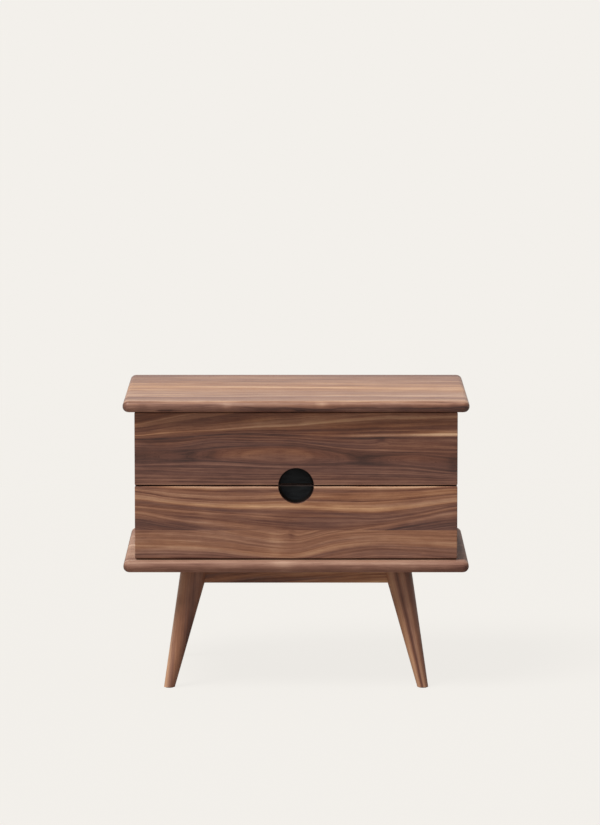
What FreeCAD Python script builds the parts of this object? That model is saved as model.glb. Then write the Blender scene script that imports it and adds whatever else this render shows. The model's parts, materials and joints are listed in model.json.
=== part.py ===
import FreeCAD, Part
import math
import os
import Sketcher
from FreeCAD import Placement, Rotation, Vector

# Nightstand with two drawers on four splayed turned legs.
# Millimetres. Origin on the floor under the middle of the top, +X right, +Y back, +Z up.

# Driving sizes
SIZES = {
    # Whole nightstand
    "overall_width": 600.0,
    "overall_depth": 400.0,
    "overall_height": 510.0,
    "base_height": 210.0,
    # Top panel and base panel
    "slab_thickness": 20.0,
    "slab_edge_land": 1.0,
    "slab_corner_radius": 12.0,
    "side_overhang": 20.0,
    "front_overhang": 20.0,
    "back_overhang": 20.0,
    # Case
    "side_thickness": 18.0,
    "back_thickness": 6.0,
    "rebate_width": 9.0,
    "back_top_gap": 0.5,
    "divider_thickness": 18.0,
    "divider_depth": 60.0,
    "housing_depth": 5.0,
    "joint_clearance": 0.1,
    "cut_overrun": 10.0,
    # Dowels between the case sides and the two panels
    "dowel_radius": 4.0,
    "dowel_length": 30.0,
    "dowel_in_slab": 10.0,
    "dowel_chamfer": 0.8,
    "dowel_end_gap": 0.5,
    "dowel_inset": 40.0,
    # Screws
    "screw_clearance": 0.1,
    "screw_tip": 3.0,
    "frame_screw_radius": 2.0,
    "frame_screw_length": 30.0,
    "frame_screw_seat": 18.0,
    "frame_head_radius": 4.0,
    "frame_head_height": 2.4,
    "front_screw_length": 25.0,
    "back_screw_radius": 1.5,
    "back_screw_length": 20.0,
    "back_head_radius": 3.4,
    "back_head_height": 1.8,
    "slide_screw_radius": 1.6,
    "slide_screw_length": 11.0,
    "slide_head_radius": 3.2,
    "slide_head_height": 1.8,
    # Legs and foot glides
    "leg_inset_x": 123.0,
    "leg_inset_y": 76.0,
    "leg_splay_x": 45.0,
    "leg_splay_y": 27.5,
    "leg_top_radius": 24.0,
    "leg_foot_radius": 9.3,
    "leg_trim": 15.0,
    "glide_radius": 7.5,
    "glide_thickness": 1.0,
    "nail_radius": 1.25,
    "nail_length": 12.0,
    # Aprons and corner blocks
    "apron_thickness": 20.0,
    "apron_drop": 28.0,
    "apron_eased_edge": 1.5,
    "apron_corner_gap": 1.0,
    "tenon_length": 4.5,
    "tenon_thickness": 10.0,
    "tenon_shoulder": 5.0,
    "block_near": 22.0,
    "block_far": 52.0,
    # Drawer fronts
    "front_thickness": 22.0,
    "front_gap": 2.0,
    "front_eased_edge": 1.5,
    "front_stand_off": 1.5,
    # Finger pull
    "pull_hole_radius": 30.5,
    "pull_lip": 8.0,
    "pull_seat_radius": 37.0,
    "pull_clearance": 0.3,
    "pull_wall": 2.7,
    "pull_floor": 3.0,
    "pull_inner_round": 8.0,
    # Drawer boxes
    "box_wall": 12.0,
    "box_lift": 13.0,
    "box_top_drop": 19.0,
    "box_back_gap": 32.0,
    "bottom_thickness": 6.0,
    "bottom_lift": 10.0,
    "groove_depth": 5.5,
    "bottom_edge_gap": 0.5,
    "pin_half_width": 4.0,
    "pin_flare": 1.7,
    "front_screw_inset": 70.0,
    "front_screw_drop": 22.0,
    # Bumpers behind the drawer fronts
    "bumper_radius": 4.5,
    "bumper_thickness": 1.2,
    "bumper_drop": 15.0,
    # Ball-bearing slides
    "slide_depth": 12.7,
    "slide_setback": 2.0,
    "slide_back_gap": 28.5,
    "rail_tall": 44.0,
    "rail_depth": 10.0,
    "rail_wall": 1.5,
    "rail_lip": 1.2,
    "mid_offset": 4.2,
    "mid_tall": 34.0,
    "mid_depth": 6.8,
    "member_wall": 1.2,
    "inner_tall": 25.0,
    "inner_depth": 6.3,
    "ball_clearance": 0.05,
    "cage_length": 120.0,
    "cage_width": 3.8,
    "cage_thickness": 1.0,
    "outer_race_offset": 6.0,
    "inner_race_offset": 8.7,
}

# Counts, and places along a piece as shares of its length
TAIL_COUNT = 3
BALL_COUNT = 5
DOWEL_PLACE_SHARES = (0.0, 0.5, 1.0)
RAIL_SCREW_SHARES = (0.12, 0.5, 0.88)
BACK_SCREW_SHARES = (0.08, 0.36, 0.64, 0.92)
APRON_SCREW_SHARE = 0.25
HEAD_FLAT_SHARE = 0.7

# Names for the two hands and the two ends of the piece
SIDES = {"left": -1, "right": 1}
ENDS = {"front": -1, "rear": 1}
LEVELS = ("lower", "upper")

# The indices that a sketch gives its own origin and its two axes
ORIGIN_INDEX = -1
VERTICAL_AXIS_INDEX = -2
HORIZONTAL_AXIS_INDEX = -1

# Tests on shapes, and units: a straight edge runs along an axis if this share of its direction does
NEAR = 1e-6
ALONG_SHARE = 0.999
FULL_TURN = 360
QUARTER_TURN = 90
MM3_PER_CM3 = 1000


class Size:
    """A length kept twice: as a number, and as the formula over the sheet that gives it."""

    def __init__(self, number, formula):
        self.number = number
        self.formula = formula

    def __add__(self, other):
        return Size(self.number + number_of(other), f"({self.formula} + {formula_of(other)})")

    def __sub__(self, other):
        return Size(self.number - number_of(other), f"({self.formula} - {formula_of(other)})")

    def __mul__(self, factor):
        return Size(self.number * number_of(factor), f"({self.formula} * {formula_of(factor)})")

    def __truediv__(self, divisor):
        return Size(self.number / number_of(divisor), f"({self.formula} / {formula_of(divisor)})")

    def __neg__(self):
        return self * -1

    __rmul__ = __mul__


def number_of(term):
    """The number behind a Size or a plain count."""
    return term.number if isinstance(term, Size) else float(term)


def formula_of(term):
    """The formula behind a Size or a plain count."""
    return term.formula if isinstance(term, Size) else f"({float(term)})"


def root_of(square):
    """The square root of a Size."""
    return Size(math.sqrt(square.number), f"sqrt({square.formula})")


def slope_angle(run, rise):
    """The angle whose tangent is run over rise, in degrees."""
    return Size(math.degrees(math.atan(run.number / rise.number)), f"atan({run.formula} / {rise.formula})")


doc = FreeCAD.newDocument("nightstand")
sheet = doc.addObject("Spreadsheet::Sheet", "Sizes")
for row, (alias, millimetres) in enumerate(SIZES.items(), start=1):
    sheet.set(f"A{row}", alias)
    sheet.set(f"B{row}", str(millimetres))
    sheet.setAlias(f"B{row}", alias)
doc.recompute()

ZERO = Size(0.0, "0")
size = {alias: Size(millimetres, f"Sizes.{alias}") for alias, millimetres in SIZES.items()}

# Derived heights
case_floor = size["base_height"] + size["slab_thickness"]
case_ceiling = size["overall_height"] - size["slab_thickness"]
case_tall = case_ceiling - case_floor
case_middle = case_floor + case_tall / 2
front_tall = (case_tall - size["front_gap"] * 3) / 2
front_floor = {
    "lower": case_floor + size["front_gap"],
    "upper": case_floor + size["front_gap"] * 2 + front_tall,
}

# Derived widths, depths and the size of a drawer box
case_half = size["overall_width"] / 2 - size["side_overhang"]
inner_half = case_half - size["side_thickness"]
box_half = inner_half - size["slide_depth"]
face_y = size["front_overhang"] - size["overall_depth"] / 2
front_back_y = face_y + size["front_thickness"]
case_front_y = front_back_y + size["front_stand_off"]
case_back_y = size["overall_depth"] / 2 - size["back_overhang"]
side_long = case_back_y - case_front_y
back_face_y = case_back_y - size["back_thickness"]
rail_y = case_front_y + size["slide_setback"]
slide_long = back_face_y - rail_y - size["slide_back_gap"]
box_long = back_face_y - front_back_y - size["box_back_gap"]
box_tall = front_tall - size["box_lift"] - size["box_top_drop"]

# Derived places of the leg frame
leg_x = size["overall_width"] / 2 - size["leg_inset_x"]
leg_y = size["overall_depth"] / 2 - size["leg_inset_y"]
inside_x = leg_x - size["apron_thickness"] / 2
inside_y = leg_y - size["apron_thickness"] / 2
apron_half_x = inside_x - size["apron_corner_gap"]
apron_half_y = inside_y - size["apron_corner_gap"]
apron_floor = size["base_height"] - size["apron_drop"]
block_middle = (size["block_near"] + size["block_far"]) / 4

pieces = []


def keep(label, piece, x=ZERO, y=ZERO, z=ZERO):
    """Name a finished piece, bind its place and list it for writing."""
    piece.Label = label
    move(piece, x, y, z)
    pieces.append(piece)
    return piece


def move(piece, x=ZERO, y=ZERO, z=ZERO):
    """Bind the three coordinates of a piece's place."""
    for axis, where in zip("xyz", (x, y, z)):
        piece.setExpression(f"Placement.Base.{axis}", where.formula)


def origin_feature(body, role):
    """The body's own origin plane or axis with that role."""
    return next(item for item in body.Origin.OriginFeatures if item.Role == role)


def new_sketch(body, name, role, offset=ZERO):
    """A sketch on one of the body's origin planes, moved along the plane's normal."""
    sketch = body.newObject("Sketcher::SketchObject", name)
    sketch.AttachmentSupport = (origin_feature(body, role), [""])
    sketch.MapMode = "FlatFace"
    sketch.setExpression("AttachmentOffset.Base.z", offset.formula)
    return sketch


def pin_point(sketch, geometry, point, x, y):
    """Tie one point of the sketch to its two coordinates."""
    rules = (("DistanceX", VERTICAL_AXIS_INDEX, x), ("DistanceY", HORIZONTAL_AXIS_INDEX, y))
    for kind, axis, where in rules:
        if where.number == 0:
            sketch.addConstraint(Sketcher.Constraint("PointOnObject", geometry, point, axis))
            continue
        rule = Sketcher.Constraint(kind, ORIGIN_INDEX, 1, geometry, point, where.number)
        index = sketch.addConstraint(rule)
        sketch.setExpression(f"Constraints[{index}]", where.formula)


def draw_outline(sketch, points):
    """A closed outline of straight lines through the points, each point dimensioned."""
    corners = [Vector(x.number, y.number, 0) for x, y in points]
    first = sketch.GeometryCount
    for start, end in zip(corners, corners[1:] + corners[:1]):
        sketch.addGeometry(Part.LineSegment(start, end), False)
    for index in range(len(points)):
        following = first + (index + 1) % len(points)
        sketch.addConstraint(Sketcher.Constraint("Coincident", first + index, 2, following, 1))
    for index, (x, y) in enumerate(points):
        pin_point(sketch, first + index, 1, x, y)


def draw_circle(sketch, x, y, radius):
    """A dimensioned circle."""
    centre = Vector(x.number, y.number, 0)
    geometry = sketch.addGeometry(Part.Circle(centre, Vector(0, 0, 1), radius.number), False)
    pin_point(sketch, geometry, 3, x, y)
    index = sketch.addConstraint(Sketcher.Constraint("Radius", geometry, radius.number))
    sketch.setExpression(f"Constraints[{index}]", radius.formula)


def corners_of(x_ends, y_ends):
    """The four corners of a rectangle, from its two ends each way."""
    return [(x_ends[0], y_ends[0]), (x_ends[1], y_ends[0]), (x_ends[1], y_ends[1]), (x_ends[0], y_ends[1])]


def pad(body, sketch, length, flip=False):
    """Add the sketch's outline carried along its normal, or against it."""
    feature = body.newObject("PartDesign::Pad", f"{sketch.Name}_pad")
    feature.Profile = sketch
    feature.setExpression("Length", length.formula)
    feature.Reversed = flip
    doc.recompute()
    return feature


def pocket(body, sketch, depth, flip=False):
    """Cut the sketch's outline into the body, against its normal or along it."""
    before = body.Shape.Volume
    feature = body.newObject("PartDesign::Pocket", f"{sketch.Name}_cut")
    feature.Profile = sketch
    feature.setExpression("Length", depth.formula)
    feature.Reversed = flip
    doc.recompute()
    if body.Shape.Volume >= before:
        raise RuntimeError(f"{body.Name}: {sketch.Name} cuts nothing")
    return feature


def block(name, x_ends, y_ends, tall):
    """A body that starts as a plain board standing on its local XY plane."""
    body = doc.addObject("PartDesign::Body", name)
    outline = new_sketch(body, f"{name}_plan", "XY_Plane")
    draw_outline(outline, corners_of(x_ends, y_ends))
    pad(body, outline, tall)
    return body


def cut_outlines(body, name, role, outlines, depth, offset=ZERO, flip=False):
    """Cut one or more straight-sided outlines to the same depth."""
    sketch = new_sketch(body, f"{body.Name}_{name}", role, offset)
    for points in outlines:
        draw_outline(sketch, points)
    return pocket(body, sketch, depth, flip)


def drill(body, name, role, centres, radius, depth, offset=ZERO, flip=False):
    """Drill round holes of one radius and depth."""
    sketch = new_sketch(body, f"{body.Name}_{name}", role, offset)
    for x, y in centres:
        draw_circle(sketch, x, y, radius)
    return pocket(body, sketch, depth, flip)


def round_edges(body, name, radius, wanted):
    """Fillet the edges of the body's last feature that pass the test."""
    base = body.Tip
    names = [f"Edge{index}" for index, edge in enumerate(base.Shape.Edges, start=1) if wanted(edge)]
    feature = body.newObject("PartDesign::Fillet", f"{body.Name}_{name}")
    feature.Base = (base, names)
    feature.setExpression("Radius", radius.formula)
    doc.recompute()
    return feature


def turned(name, profile):
    """A body turned about its local Z axis from a profile of radius and height."""
    body = doc.addObject("PartDesign::Body", name)
    sketch = new_sketch(body, f"{name}_profile", "XZ_Plane")
    draw_outline(sketch, profile)
    feature = body.newObject("PartDesign::Revolution", f"{name}_turned")
    feature.Profile = sketch
    feature.ReferenceAxis = (sketch, ["V_Axis"])
    feature.Angle = FULL_TURN
    doc.recompute()
    return body


def copies(label, places):
    """One node of identical pieces: each place is a piece, three coordinates and a turn."""
    links = []
    for index, (piece, x, y, z, turn) in enumerate(places):
        link = doc.addObject("App::Link", f"{label}_{index}")
        link.setLink(piece)
        link.Placement = Placement(Vector(), turn)
        move(link, x, y, z)
        links.append(link)
    group = doc.addObject("Part::Compound", f"{label}_group")
    group.Links = links
    return keep(label, group)


def turn_from_up(direction):
    """The turn that lays a piece's own +Z along a direction."""
    return Rotation(Vector(0, 0, 1), Vector(*direction))


def is_edge_along(edge, axis):
    """True if the edge is straight and lies along that axis."""
    if edge.Curve.TypeId != "Part::GeomLine":
        return False
    return abs(getattr(edge.Curve.Direction, axis)) > ALONG_SHARE


# Fasteners

def screw(name, radius, length, head_radius, head_height):
    """A pan-head screw: bearing face at the local origin, shank up, head down."""
    shank_end = length - size["screw_tip"]
    profile = [
        (ZERO, -head_height),
        (head_radius * HEAD_FLAT_SHARE, -head_height),
        (head_radius, -head_height / 2),
        (head_radius, ZERO),
        (radius, ZERO),
        (radius, shank_end),
        (ZERO, length),
    ]
    return turned(name, profile)


frame_screw = screw(
    "frame_screw",
    size["frame_screw_radius"],
    size["frame_screw_length"],
    size["frame_head_radius"],
    size["frame_head_height"],
)
front_screw = screw(
    "front_screw",
    size["frame_screw_radius"],
    size["front_screw_length"],
    size["frame_head_radius"],
    size["frame_head_height"],
)
back_screw = screw(
    "back_screw",
    size["back_screw_radius"],
    size["back_screw_length"],
    size["back_head_radius"],
    size["back_head_height"],
)
slide_screw = screw(
    "slide_screw",
    size["slide_screw_radius"],
    size["slide_screw_length"],
    size["slide_head_radius"],
    size["slide_head_height"],
)
frame_hole_radius = size["frame_screw_radius"] + size["screw_clearance"]
back_hole_radius = size["back_screw_radius"] + size["screw_clearance"]
slide_hole_radius = size["slide_screw_radius"] + size["screw_clearance"]

dowel = turned(
    "dowel",
    [
        (ZERO, ZERO),
        (size["dowel_radius"] - size["dowel_chamfer"], ZERO),
        (size["dowel_radius"], size["dowel_chamfer"]),
        (size["dowel_radius"], size["dowel_length"] - size["dowel_chamfer"]),
        (size["dowel_radius"] - size["dowel_chamfer"], size["dowel_length"]),
        (ZERO, size["dowel_length"]),
    ],
)
dowel_hole_radius = size["dowel_radius"] + size["screw_clearance"]
dowel_slab_depth = size["dowel_in_slab"]
dowel_side_depth = size["dowel_length"] - size["dowel_in_slab"] + size["dowel_end_gap"]
dowel_line = inner_half + size["side_thickness"] / 2
dowel_span = side_long - size["dowel_inset"] * 2
dowel_depths = [size["dowel_inset"] + dowel_span * share for share in DOWEL_PLACE_SHARES]


def make_case_dowels():
    """Dowels that join both case sides to the top panel and the base panel."""
    upright = Rotation()
    low = case_floor - size["dowel_in_slab"]
    high = case_ceiling + size["dowel_in_slab"] - size["dowel_length"]
    places = []
    for hand in SIDES.values():
        for height in (low, high):
            for depth in dowel_depths:
                places.append((dowel, dowel_line * hand, case_front_y + depth, height, upright))
    copies("case_dowels", places)


# Top panel and base panel

def frame_screw_centres():
    """Where the leg frame is screwed up into the base panel, seen in plan."""
    centres = []
    for hand in SIDES.values():
        centres.append((leg_x * hand, ZERO))
        for end in ENDS.values():
            centres.append(((inside_x - block_middle) * hand, (inside_y - block_middle) * end))
            centres.append((apron_half_x * 2 * APRON_SCREW_SHARE * hand, leg_y * end))
    return centres


def make_slab(label, height):
    """A panel with rounded plan corners and a bullnose all round."""
    half_x = size["overall_width"] / 2
    half_y = size["overall_depth"] / 2
    body = block(label, (-half_x, half_x), (-half_y, half_y), size["slab_thickness"])
    round_edges(body, "plan_corners", size["slab_corner_radius"], lambda edge: is_edge_along(edge, "z"))
    edge_radius = (size["slab_thickness"] - size["slab_edge_land"]) / 2
    thickness = size["slab_thickness"].number

    def on_rim(edge):
        """True for an edge that lies all in the top face or all in the underside."""
        box = edge.BoundBox
        return box.ZLength < NEAR and (abs(box.ZMin) < NEAR or abs(box.ZMin - thickness) < NEAR)

    round_edges(body, "bullnose", edge_radius, on_rim)
    dowels = [(dowel_line * hand, case_front_y + depth) for hand in SIDES.values() for depth in dowel_depths]
    if label == "top_panel":
        drill(body, "dowel_holes", "XY_Plane", dowels, dowel_hole_radius, dowel_slab_depth, flip=True)
    else:
        top = size["slab_thickness"]
        drill(body, "dowel_holes", "XY_Plane", dowels, dowel_hole_radius, dowel_slab_depth, offset=top)
        deep = size["frame_screw_length"] - size["frame_screw_seat"] + size["dowel_end_gap"]
        centres = frame_screw_centres()
        drill(body, "pilot_holes", "XY_Plane", centres, frame_hole_radius, deep, flip=True)
    keep(label, body, z=height)


# Case

slide_middle = {level: front_floor[level] + size["box_lift"] + box_tall / 2 for level in LEVELS}
rail_screw_depths = [slide_long * share for share in RAIL_SCREW_SHARES]
back_screw_x = inner_half + size["rebate_width"] / 2
back_screw_heights = [case_tall * share for share in BACK_SCREW_SHARES]


def make_side_panel(hand_name, hand):
    """A case side: rebated for the back, housed for the divider, bored for dowels and screws."""
    label = f"side_panel_{hand_name}"
    body = doc.addObject("PartDesign::Body", label)
    outer = size["side_thickness"] * hand
    rebate = size["rebate_width"] * hand
    shoulder = side_long - size["back_thickness"]
    plan = new_sketch(body, f"{label}_plan", "XY_Plane")
    outline = [(ZERO, ZERO), (outer, ZERO), (outer, side_long)]
    outline += [(rebate, side_long), (rebate, shoulder), (ZERO, shoulder)]
    draw_outline(plan, outline)
    pad(body, plan, case_tall)
    outward = hand > 0
    low = (case_tall - size["divider_thickness"]) / 2
    housing = corners_of((ZERO, size["divider_depth"]), (low, low + size["divider_thickness"]))
    cut_outlines(body, "housing", "YZ_Plane", [housing], size["housing_depth"], flip=outward)
    dowels = [(outer / 2, depth) for depth in dowel_depths]
    drill(body, "low_dowels", "XY_Plane", dowels, dowel_hole_radius, dowel_side_depth, flip=True)
    drill(body, "high_dowels", "XY_Plane", dowels, dowel_hole_radius, dowel_side_depth, offset=case_tall)
    pilots = [
        (size["slide_setback"] + depth, slide_middle[level] - case_floor)
        for level in LEVELS
        for depth in rail_screw_depths
    ]
    slide_reach = size["slide_screw_length"]
    drill(body, "slide_pilots", "YZ_Plane", pilots, slide_hole_radius, slide_reach, flip=outward)
    backs = [((back_screw_x - inner_half) * hand, height) for height in back_screw_heights]
    reach = size["back_screw_length"]
    drill(body, "back_pilots", "XZ_Plane", backs, back_hole_radius, reach, offset=-side_long, flip=True)
    keep(label, body, x=inner_half * hand, y=case_front_y, z=case_floor)


def make_back_panel():
    """The thin back, let into the rebates of both sides."""
    half = inner_half + size["rebate_width"] - size["joint_clearance"]
    tall = case_tall - size["back_top_gap"]
    body = block("back_panel", (-half, half), (ZERO, size["back_thickness"]), tall)
    holes = [(back_screw_x * hand, height) for hand in SIDES.values() for height in back_screw_heights]
    drill(body, "screw_holes", "XZ_Plane", holes, back_hole_radius, size["back_thickness"])
    keep("back_panel", body, y=back_face_y, z=case_floor)
    turn = turn_from_up((0, -1, 0))
    copies("back_panel_screws", [(back_screw, x, case_back_y, case_floor + z, turn) for x, z in holes])


def make_divider():
    """The rail between the drawers, housed in both sides."""
    half = inner_half + size["housing_depth"] - size["joint_clearance"]
    depth = size["divider_depth"] - size["joint_clearance"]
    body = block("divider_rail", (-half, half), (ZERO, depth), size["divider_thickness"])
    low = case_middle - size["divider_thickness"] / 2
    keep("divider_rail", body, y=case_front_y, z=low)


# Leg frame

def plain_box(name, x_ends, y_ends, z_ends):
    """A box between two ends each way, in whichever order they come."""
    box = doc.addObject("Part::Box", name)
    ordered = [sorted(ends, key=number_of) for ends in (x_ends, y_ends, z_ends)]
    for side, (low, high) in zip(("Length", "Width", "Height"), ordered):
        box.setExpression(side, (high - low).formula)
    move(box, *[low for low, high in ordered])
    return box


def make_leg(hand_name, hand, end_name, end):
    """A turned cone leaning out both ways, cut flat at both ends and housed for two aprons."""
    label = f"leg_{end_name}_{hand_name}"
    rise = size["base_height"]
    splay = root_of(size["leg_splay_x"] * size["leg_splay_x"] + size["leg_splay_y"] * size["leg_splay_y"])
    long = root_of(splay * splay + rise * rise)
    flare = (size["leg_top_radius"] - size["leg_foot_radius"]) / long
    cone = doc.addObject("Part::Cone", f"{label}_cone")
    cone.setExpression("Radius1", (size["leg_foot_radius"] - flare * size["leg_trim"]).formula)
    cone.setExpression("Radius2", (size["leg_top_radius"] + flare * size["leg_trim"]).formula)
    cone.setExpression("Height", (long + size["leg_trim"] * 2).formula)
    reach = (long + size["leg_trim"]) / long
    drop = rise * (size["leg_trim"] / long)
    move(cone, size["leg_splay_x"] * reach * hand, size["leg_splay_y"] * reach * end, -drop)
    cone.setExpression("Placement.Rotation.Axis.x", (size["leg_splay_y"] * end).formula)
    cone.setExpression("Placement.Rotation.Axis.y", (size["leg_splay_x"] * -hand).formula)
    cone.setExpression("Placement.Rotation.Axis.z", ZERO.formula)
    cone.setExpression("Placement.Rotation.Angle", slope_angle(splay, rise).formula)

    room = splay + size["leg_top_radius"] * 2
    trim = plain_box(f"{label}_trim", (-room, room), (-room, room), (size["glide_thickness"], rise))
    leg = doc.addObject("Part::Common", f"{label}_trimmed")
    leg.Base = cone
    leg.Tool = trim

    half = size["apron_thickness"] / 2
    shoulder = half + size["apron_corner_gap"]
    wide = size["tenon_thickness"] / 2 + size["joint_clearance"]
    deep = shoulder - size["tenon_length"] - size["joint_clearance"]
    seat_z = (apron_floor, rise + size["cut_overrun"])
    slot_z = (
        apron_floor + size["tenon_shoulder"] - size["joint_clearance"],
        rise - size["tenon_shoulder"] + size["joint_clearance"],
    )
    nail = doc.addObject("Part::Cylinder", f"{label}_nail_hole")
    nail.setExpression("Radius", (size["nail_radius"] + size["screw_clearance"]).formula)
    nail.setExpression("Height", (size["nail_length"] + size["screw_clearance"]).formula)
    move(nail, size["leg_splay_x"] * hand, size["leg_splay_y"] * end, size["glide_thickness"])
    tools = [
        plain_box(f"{label}_seat_x", (shoulder * -hand, room * -hand), (-half, half), seat_z),
        plain_box(f"{label}_seat_y", (-half, half), (shoulder * -end, room * -end), seat_z),
        plain_box(f"{label}_slot_x", (deep * -hand, room * -hand), (-wide, wide), slot_z),
        plain_box(f"{label}_slot_y", (-wide, wide), (deep * -end, room * -end), slot_z),
        nail,
    ]
    for step, tool in enumerate(tools):
        cut = doc.addObject("Part::Cut", f"{label}_cut_{step}")
        cut.Base = leg
        cut.Tool = tool
        leg = cut
    keep(label, leg, x=leg_x * hand, y=leg_y * end)


def make_apron(label, half, along_x, screw_places, x, y):
    """An apron with a stub tenon at each end and counterbored screw holes from below."""
    thick = size["apron_thickness"] / 2
    tongue = size["tenon_thickness"] / 2
    far = half + size["tenon_length"]
    tall = size["apron_drop"]

    def laid(long_ends, thick_ends):
        """The plan outline, turned to run along X or along Y."""
        return corners_of(long_ends, thick_ends) if along_x else corners_of(thick_ends, long_ends)

    body = doc.addObject("PartDesign::Body", label)
    plan = new_sketch(body, f"{label}_plan", "XY_Plane")
    draw_outline(plan, laid((-half, half), (-thick, thick)))
    pad(body, plan, tall)
    run = "x" if along_x else "y"

    def is_lower_long_edge(edge):
        """True for the two long edges of the underside."""
        return is_edge_along(edge, run) and abs(edge.BoundBox.ZMin) < NEAR

    round_edges(body, "lower_edges", size["apron_eased_edge"], is_lower_long_edge)
    tenons = new_sketch(body, f"{label}_tenons", "XY_Plane", size["tenon_shoulder"])
    draw_outline(tenons, laid((-far, far), (-tongue, tongue)))
    pad(body, tenons, tall - size["tenon_shoulder"] * 2)
    centres = [(where, ZERO) if along_x else (ZERO, where) for where in screw_places]
    counterbore = tall - size["frame_screw_seat"]
    head_room = size["frame_head_radius"] + size["joint_clearance"] * 2
    drill(body, "counterbores", "XY_Plane", centres, head_room, counterbore, flip=True)
    drill(body, "screw_holes", "XY_Plane", centres, frame_hole_radius, tall, flip=True)
    keep(label, body, x=x, y=y, z=apron_floor)


def make_aprons():
    """Four aprons between the legs."""
    place = apron_half_x * 2 * APRON_SCREW_SHARE
    for name, end in ENDS.items():
        where = leg_y * end
        make_apron(f"apron_{name}", apron_half_x, True, (-place, place), ZERO, where)
    for name, hand in SIDES.items():
        where = leg_x * hand
        make_apron(f"apron_{name}", apron_half_y, False, (ZERO,), where, ZERO)


def make_corner_blocks():
    """A brace across each inside corner of the aprons."""
    near = size["block_near"]
    far = size["block_far"]
    body = doc.addObject("PartDesign::Body", "corner_block")
    plan = new_sketch(body, "corner_block_plan", "XY_Plane")
    draw_outline(plan, [(-near, ZERO), (ZERO, -near), (ZERO, -far), (-far, ZERO)])
    pad(body, plan, size["frame_screw_seat"])
    centre = [(-block_middle, -block_middle)]
    drill(body, "screw_hole", "XY_Plane", centre, frame_hole_radius, size["frame_screw_seat"], flip=True)
    low = size["base_height"] - size["frame_screw_seat"]
    quarter_turns = {(1, 1): 0, (-1, 1): 1, (-1, -1): 2, (1, -1): 3}
    places = []
    for (hand, end), turns in quarter_turns.items():
        turn = Rotation(Vector(0, 0, 1), QUARTER_TURN * turns)
        places.append((body, inside_x * hand, inside_y * end, low, turn))
    copies("corner_blocks", places)


def make_frame_screws():
    """Screws up through the aprons and corner blocks into the base panel."""
    low = size["base_height"] - size["frame_screw_seat"]
    upright = Rotation()
    copies("frame_screws", [(frame_screw, x, y, low, upright) for x, y in frame_screw_centres()])


def make_glides():
    """Nail-on glides under the feet."""
    top = size["glide_thickness"]
    glide = turned(
        "glide",
        [
            (ZERO, ZERO),
            (size["glide_radius"] - top / 2, ZERO),
            (size["glide_radius"], top / 2),
            (size["glide_radius"], top),
            (size["nail_radius"], top),
            (size["nail_radius"], size["nail_length"] - size["nail_radius"]),
            (ZERO, size["nail_length"]),
        ],
    )
    foot_x = leg_x + size["leg_splay_x"]
    foot_y = leg_y + size["leg_splay_y"]
    places = []
    for hand in SIDES.values():
        for end in ENDS.values():
            places.append((glide, foot_x * hand, foot_y * end, ZERO, Rotation()))
    copies("foot_glides", places)


# Slides

def channel_outline(start, facing, depth, tall, wall, lip, hand):
    """The section of a channel whose web starts at a distance from the case side.

    Distances from the case side run inward, which is against the hand.
    """
    half = tall / 2

    def across(distance):
        """A distance from the web's back, as a coordinate."""
        return (start + distance * facing) * -hand

    back = across(ZERO)
    web = across(wall)
    tip = across(depth)
    lip_inner = across(depth - wall)
    bend = half - wall
    if lip is None:
        flanges = [(tip, -half), (tip, -bend), (web, -bend), (web, bend), (tip, bend), (tip, half)]
    else:
        hook = bend - lip
        flanges = [(tip, -half), (tip, -hook), (lip_inner, -hook), (lip_inner, -bend), (web, -bend)]
        flanges += [(web, bend), (lip_inner, bend), (lip_inner, hook), (tip, hook), (tip, half)]
    return [(back, -half)] + flanges + [(back, half)]


def make_member(label, outline, screw_depths, screw_start, hand, level):
    """One steel member of a slide, with its screw holes through the web."""
    body = doc.addObject("PartDesign::Body", label)
    section = new_sketch(body, f"{label}_section", "XZ_Plane")
    draw_outline(section, outline)
    pad(body, section, slide_long, flip=True)
    if screw_depths:
        centres = [(depth, ZERO) for depth in screw_depths]
        inward = -hand
        offset = screw_start * inward
        drill(
            body,
            "screw_holes",
            "YZ_Plane",
            centres,
            slide_hole_radius,
            size["rail_wall"],
            offset=offset,
            flip=inward > 0,
        )
    keep(label, body, x=inner_half * hand, y=rail_y, z=slide_middle[level])


def make_slide(hand_name, hand, level):
    """The three nested members of one slide."""
    rail = channel_outline(
        ZERO, 1, size["rail_depth"], size["rail_tall"], size["rail_wall"], size["rail_lip"], hand
    )
    make_member(f"slide_rail_{level}_{hand_name}", rail, rail_screw_depths, ZERO, hand, level)
    mid = channel_outline(
        size["mid_offset"], 1, size["mid_depth"], size["mid_tall"], size["member_wall"], None, hand
    )
    make_member(f"slide_mid_{level}_{hand_name}", mid, [], ZERO, hand, level)
    inner = channel_outline(
        size["slide_depth"], -1, size["inner_depth"], size["inner_tall"], size["member_wall"], None, hand
    )
    web_face = size["slide_depth"] - size["member_wall"]
    make_member(f"slide_inner_{level}_{hand_name}", inner, rail_screw_depths, web_face, hand, level)


def make_slide_screws():
    """Screws through the case members into the sides, and through the drawer members into the boxes."""
    case_places = []
    for level in LEVELS:
        drawer_places = []
        for hand in SIDES.values():
            outward = turn_from_up((hand, 0, 0))
            inward = turn_from_up((-hand, 0, 0))
            case_x = (inner_half - size["rail_wall"]) * hand
            drawer_x = (box_half + size["member_wall"]) * hand
            for depth in rail_screw_depths:
                case_places.append((slide_screw, case_x, rail_y + depth, slide_middle[level], outward))
                drawer_places.append((slide_screw, drawer_x, rail_y + depth, slide_middle[level], inward))
        copies(f"slide_screws_{level}", drawer_places)
    copies("slide_rail_screws", case_places)


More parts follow.
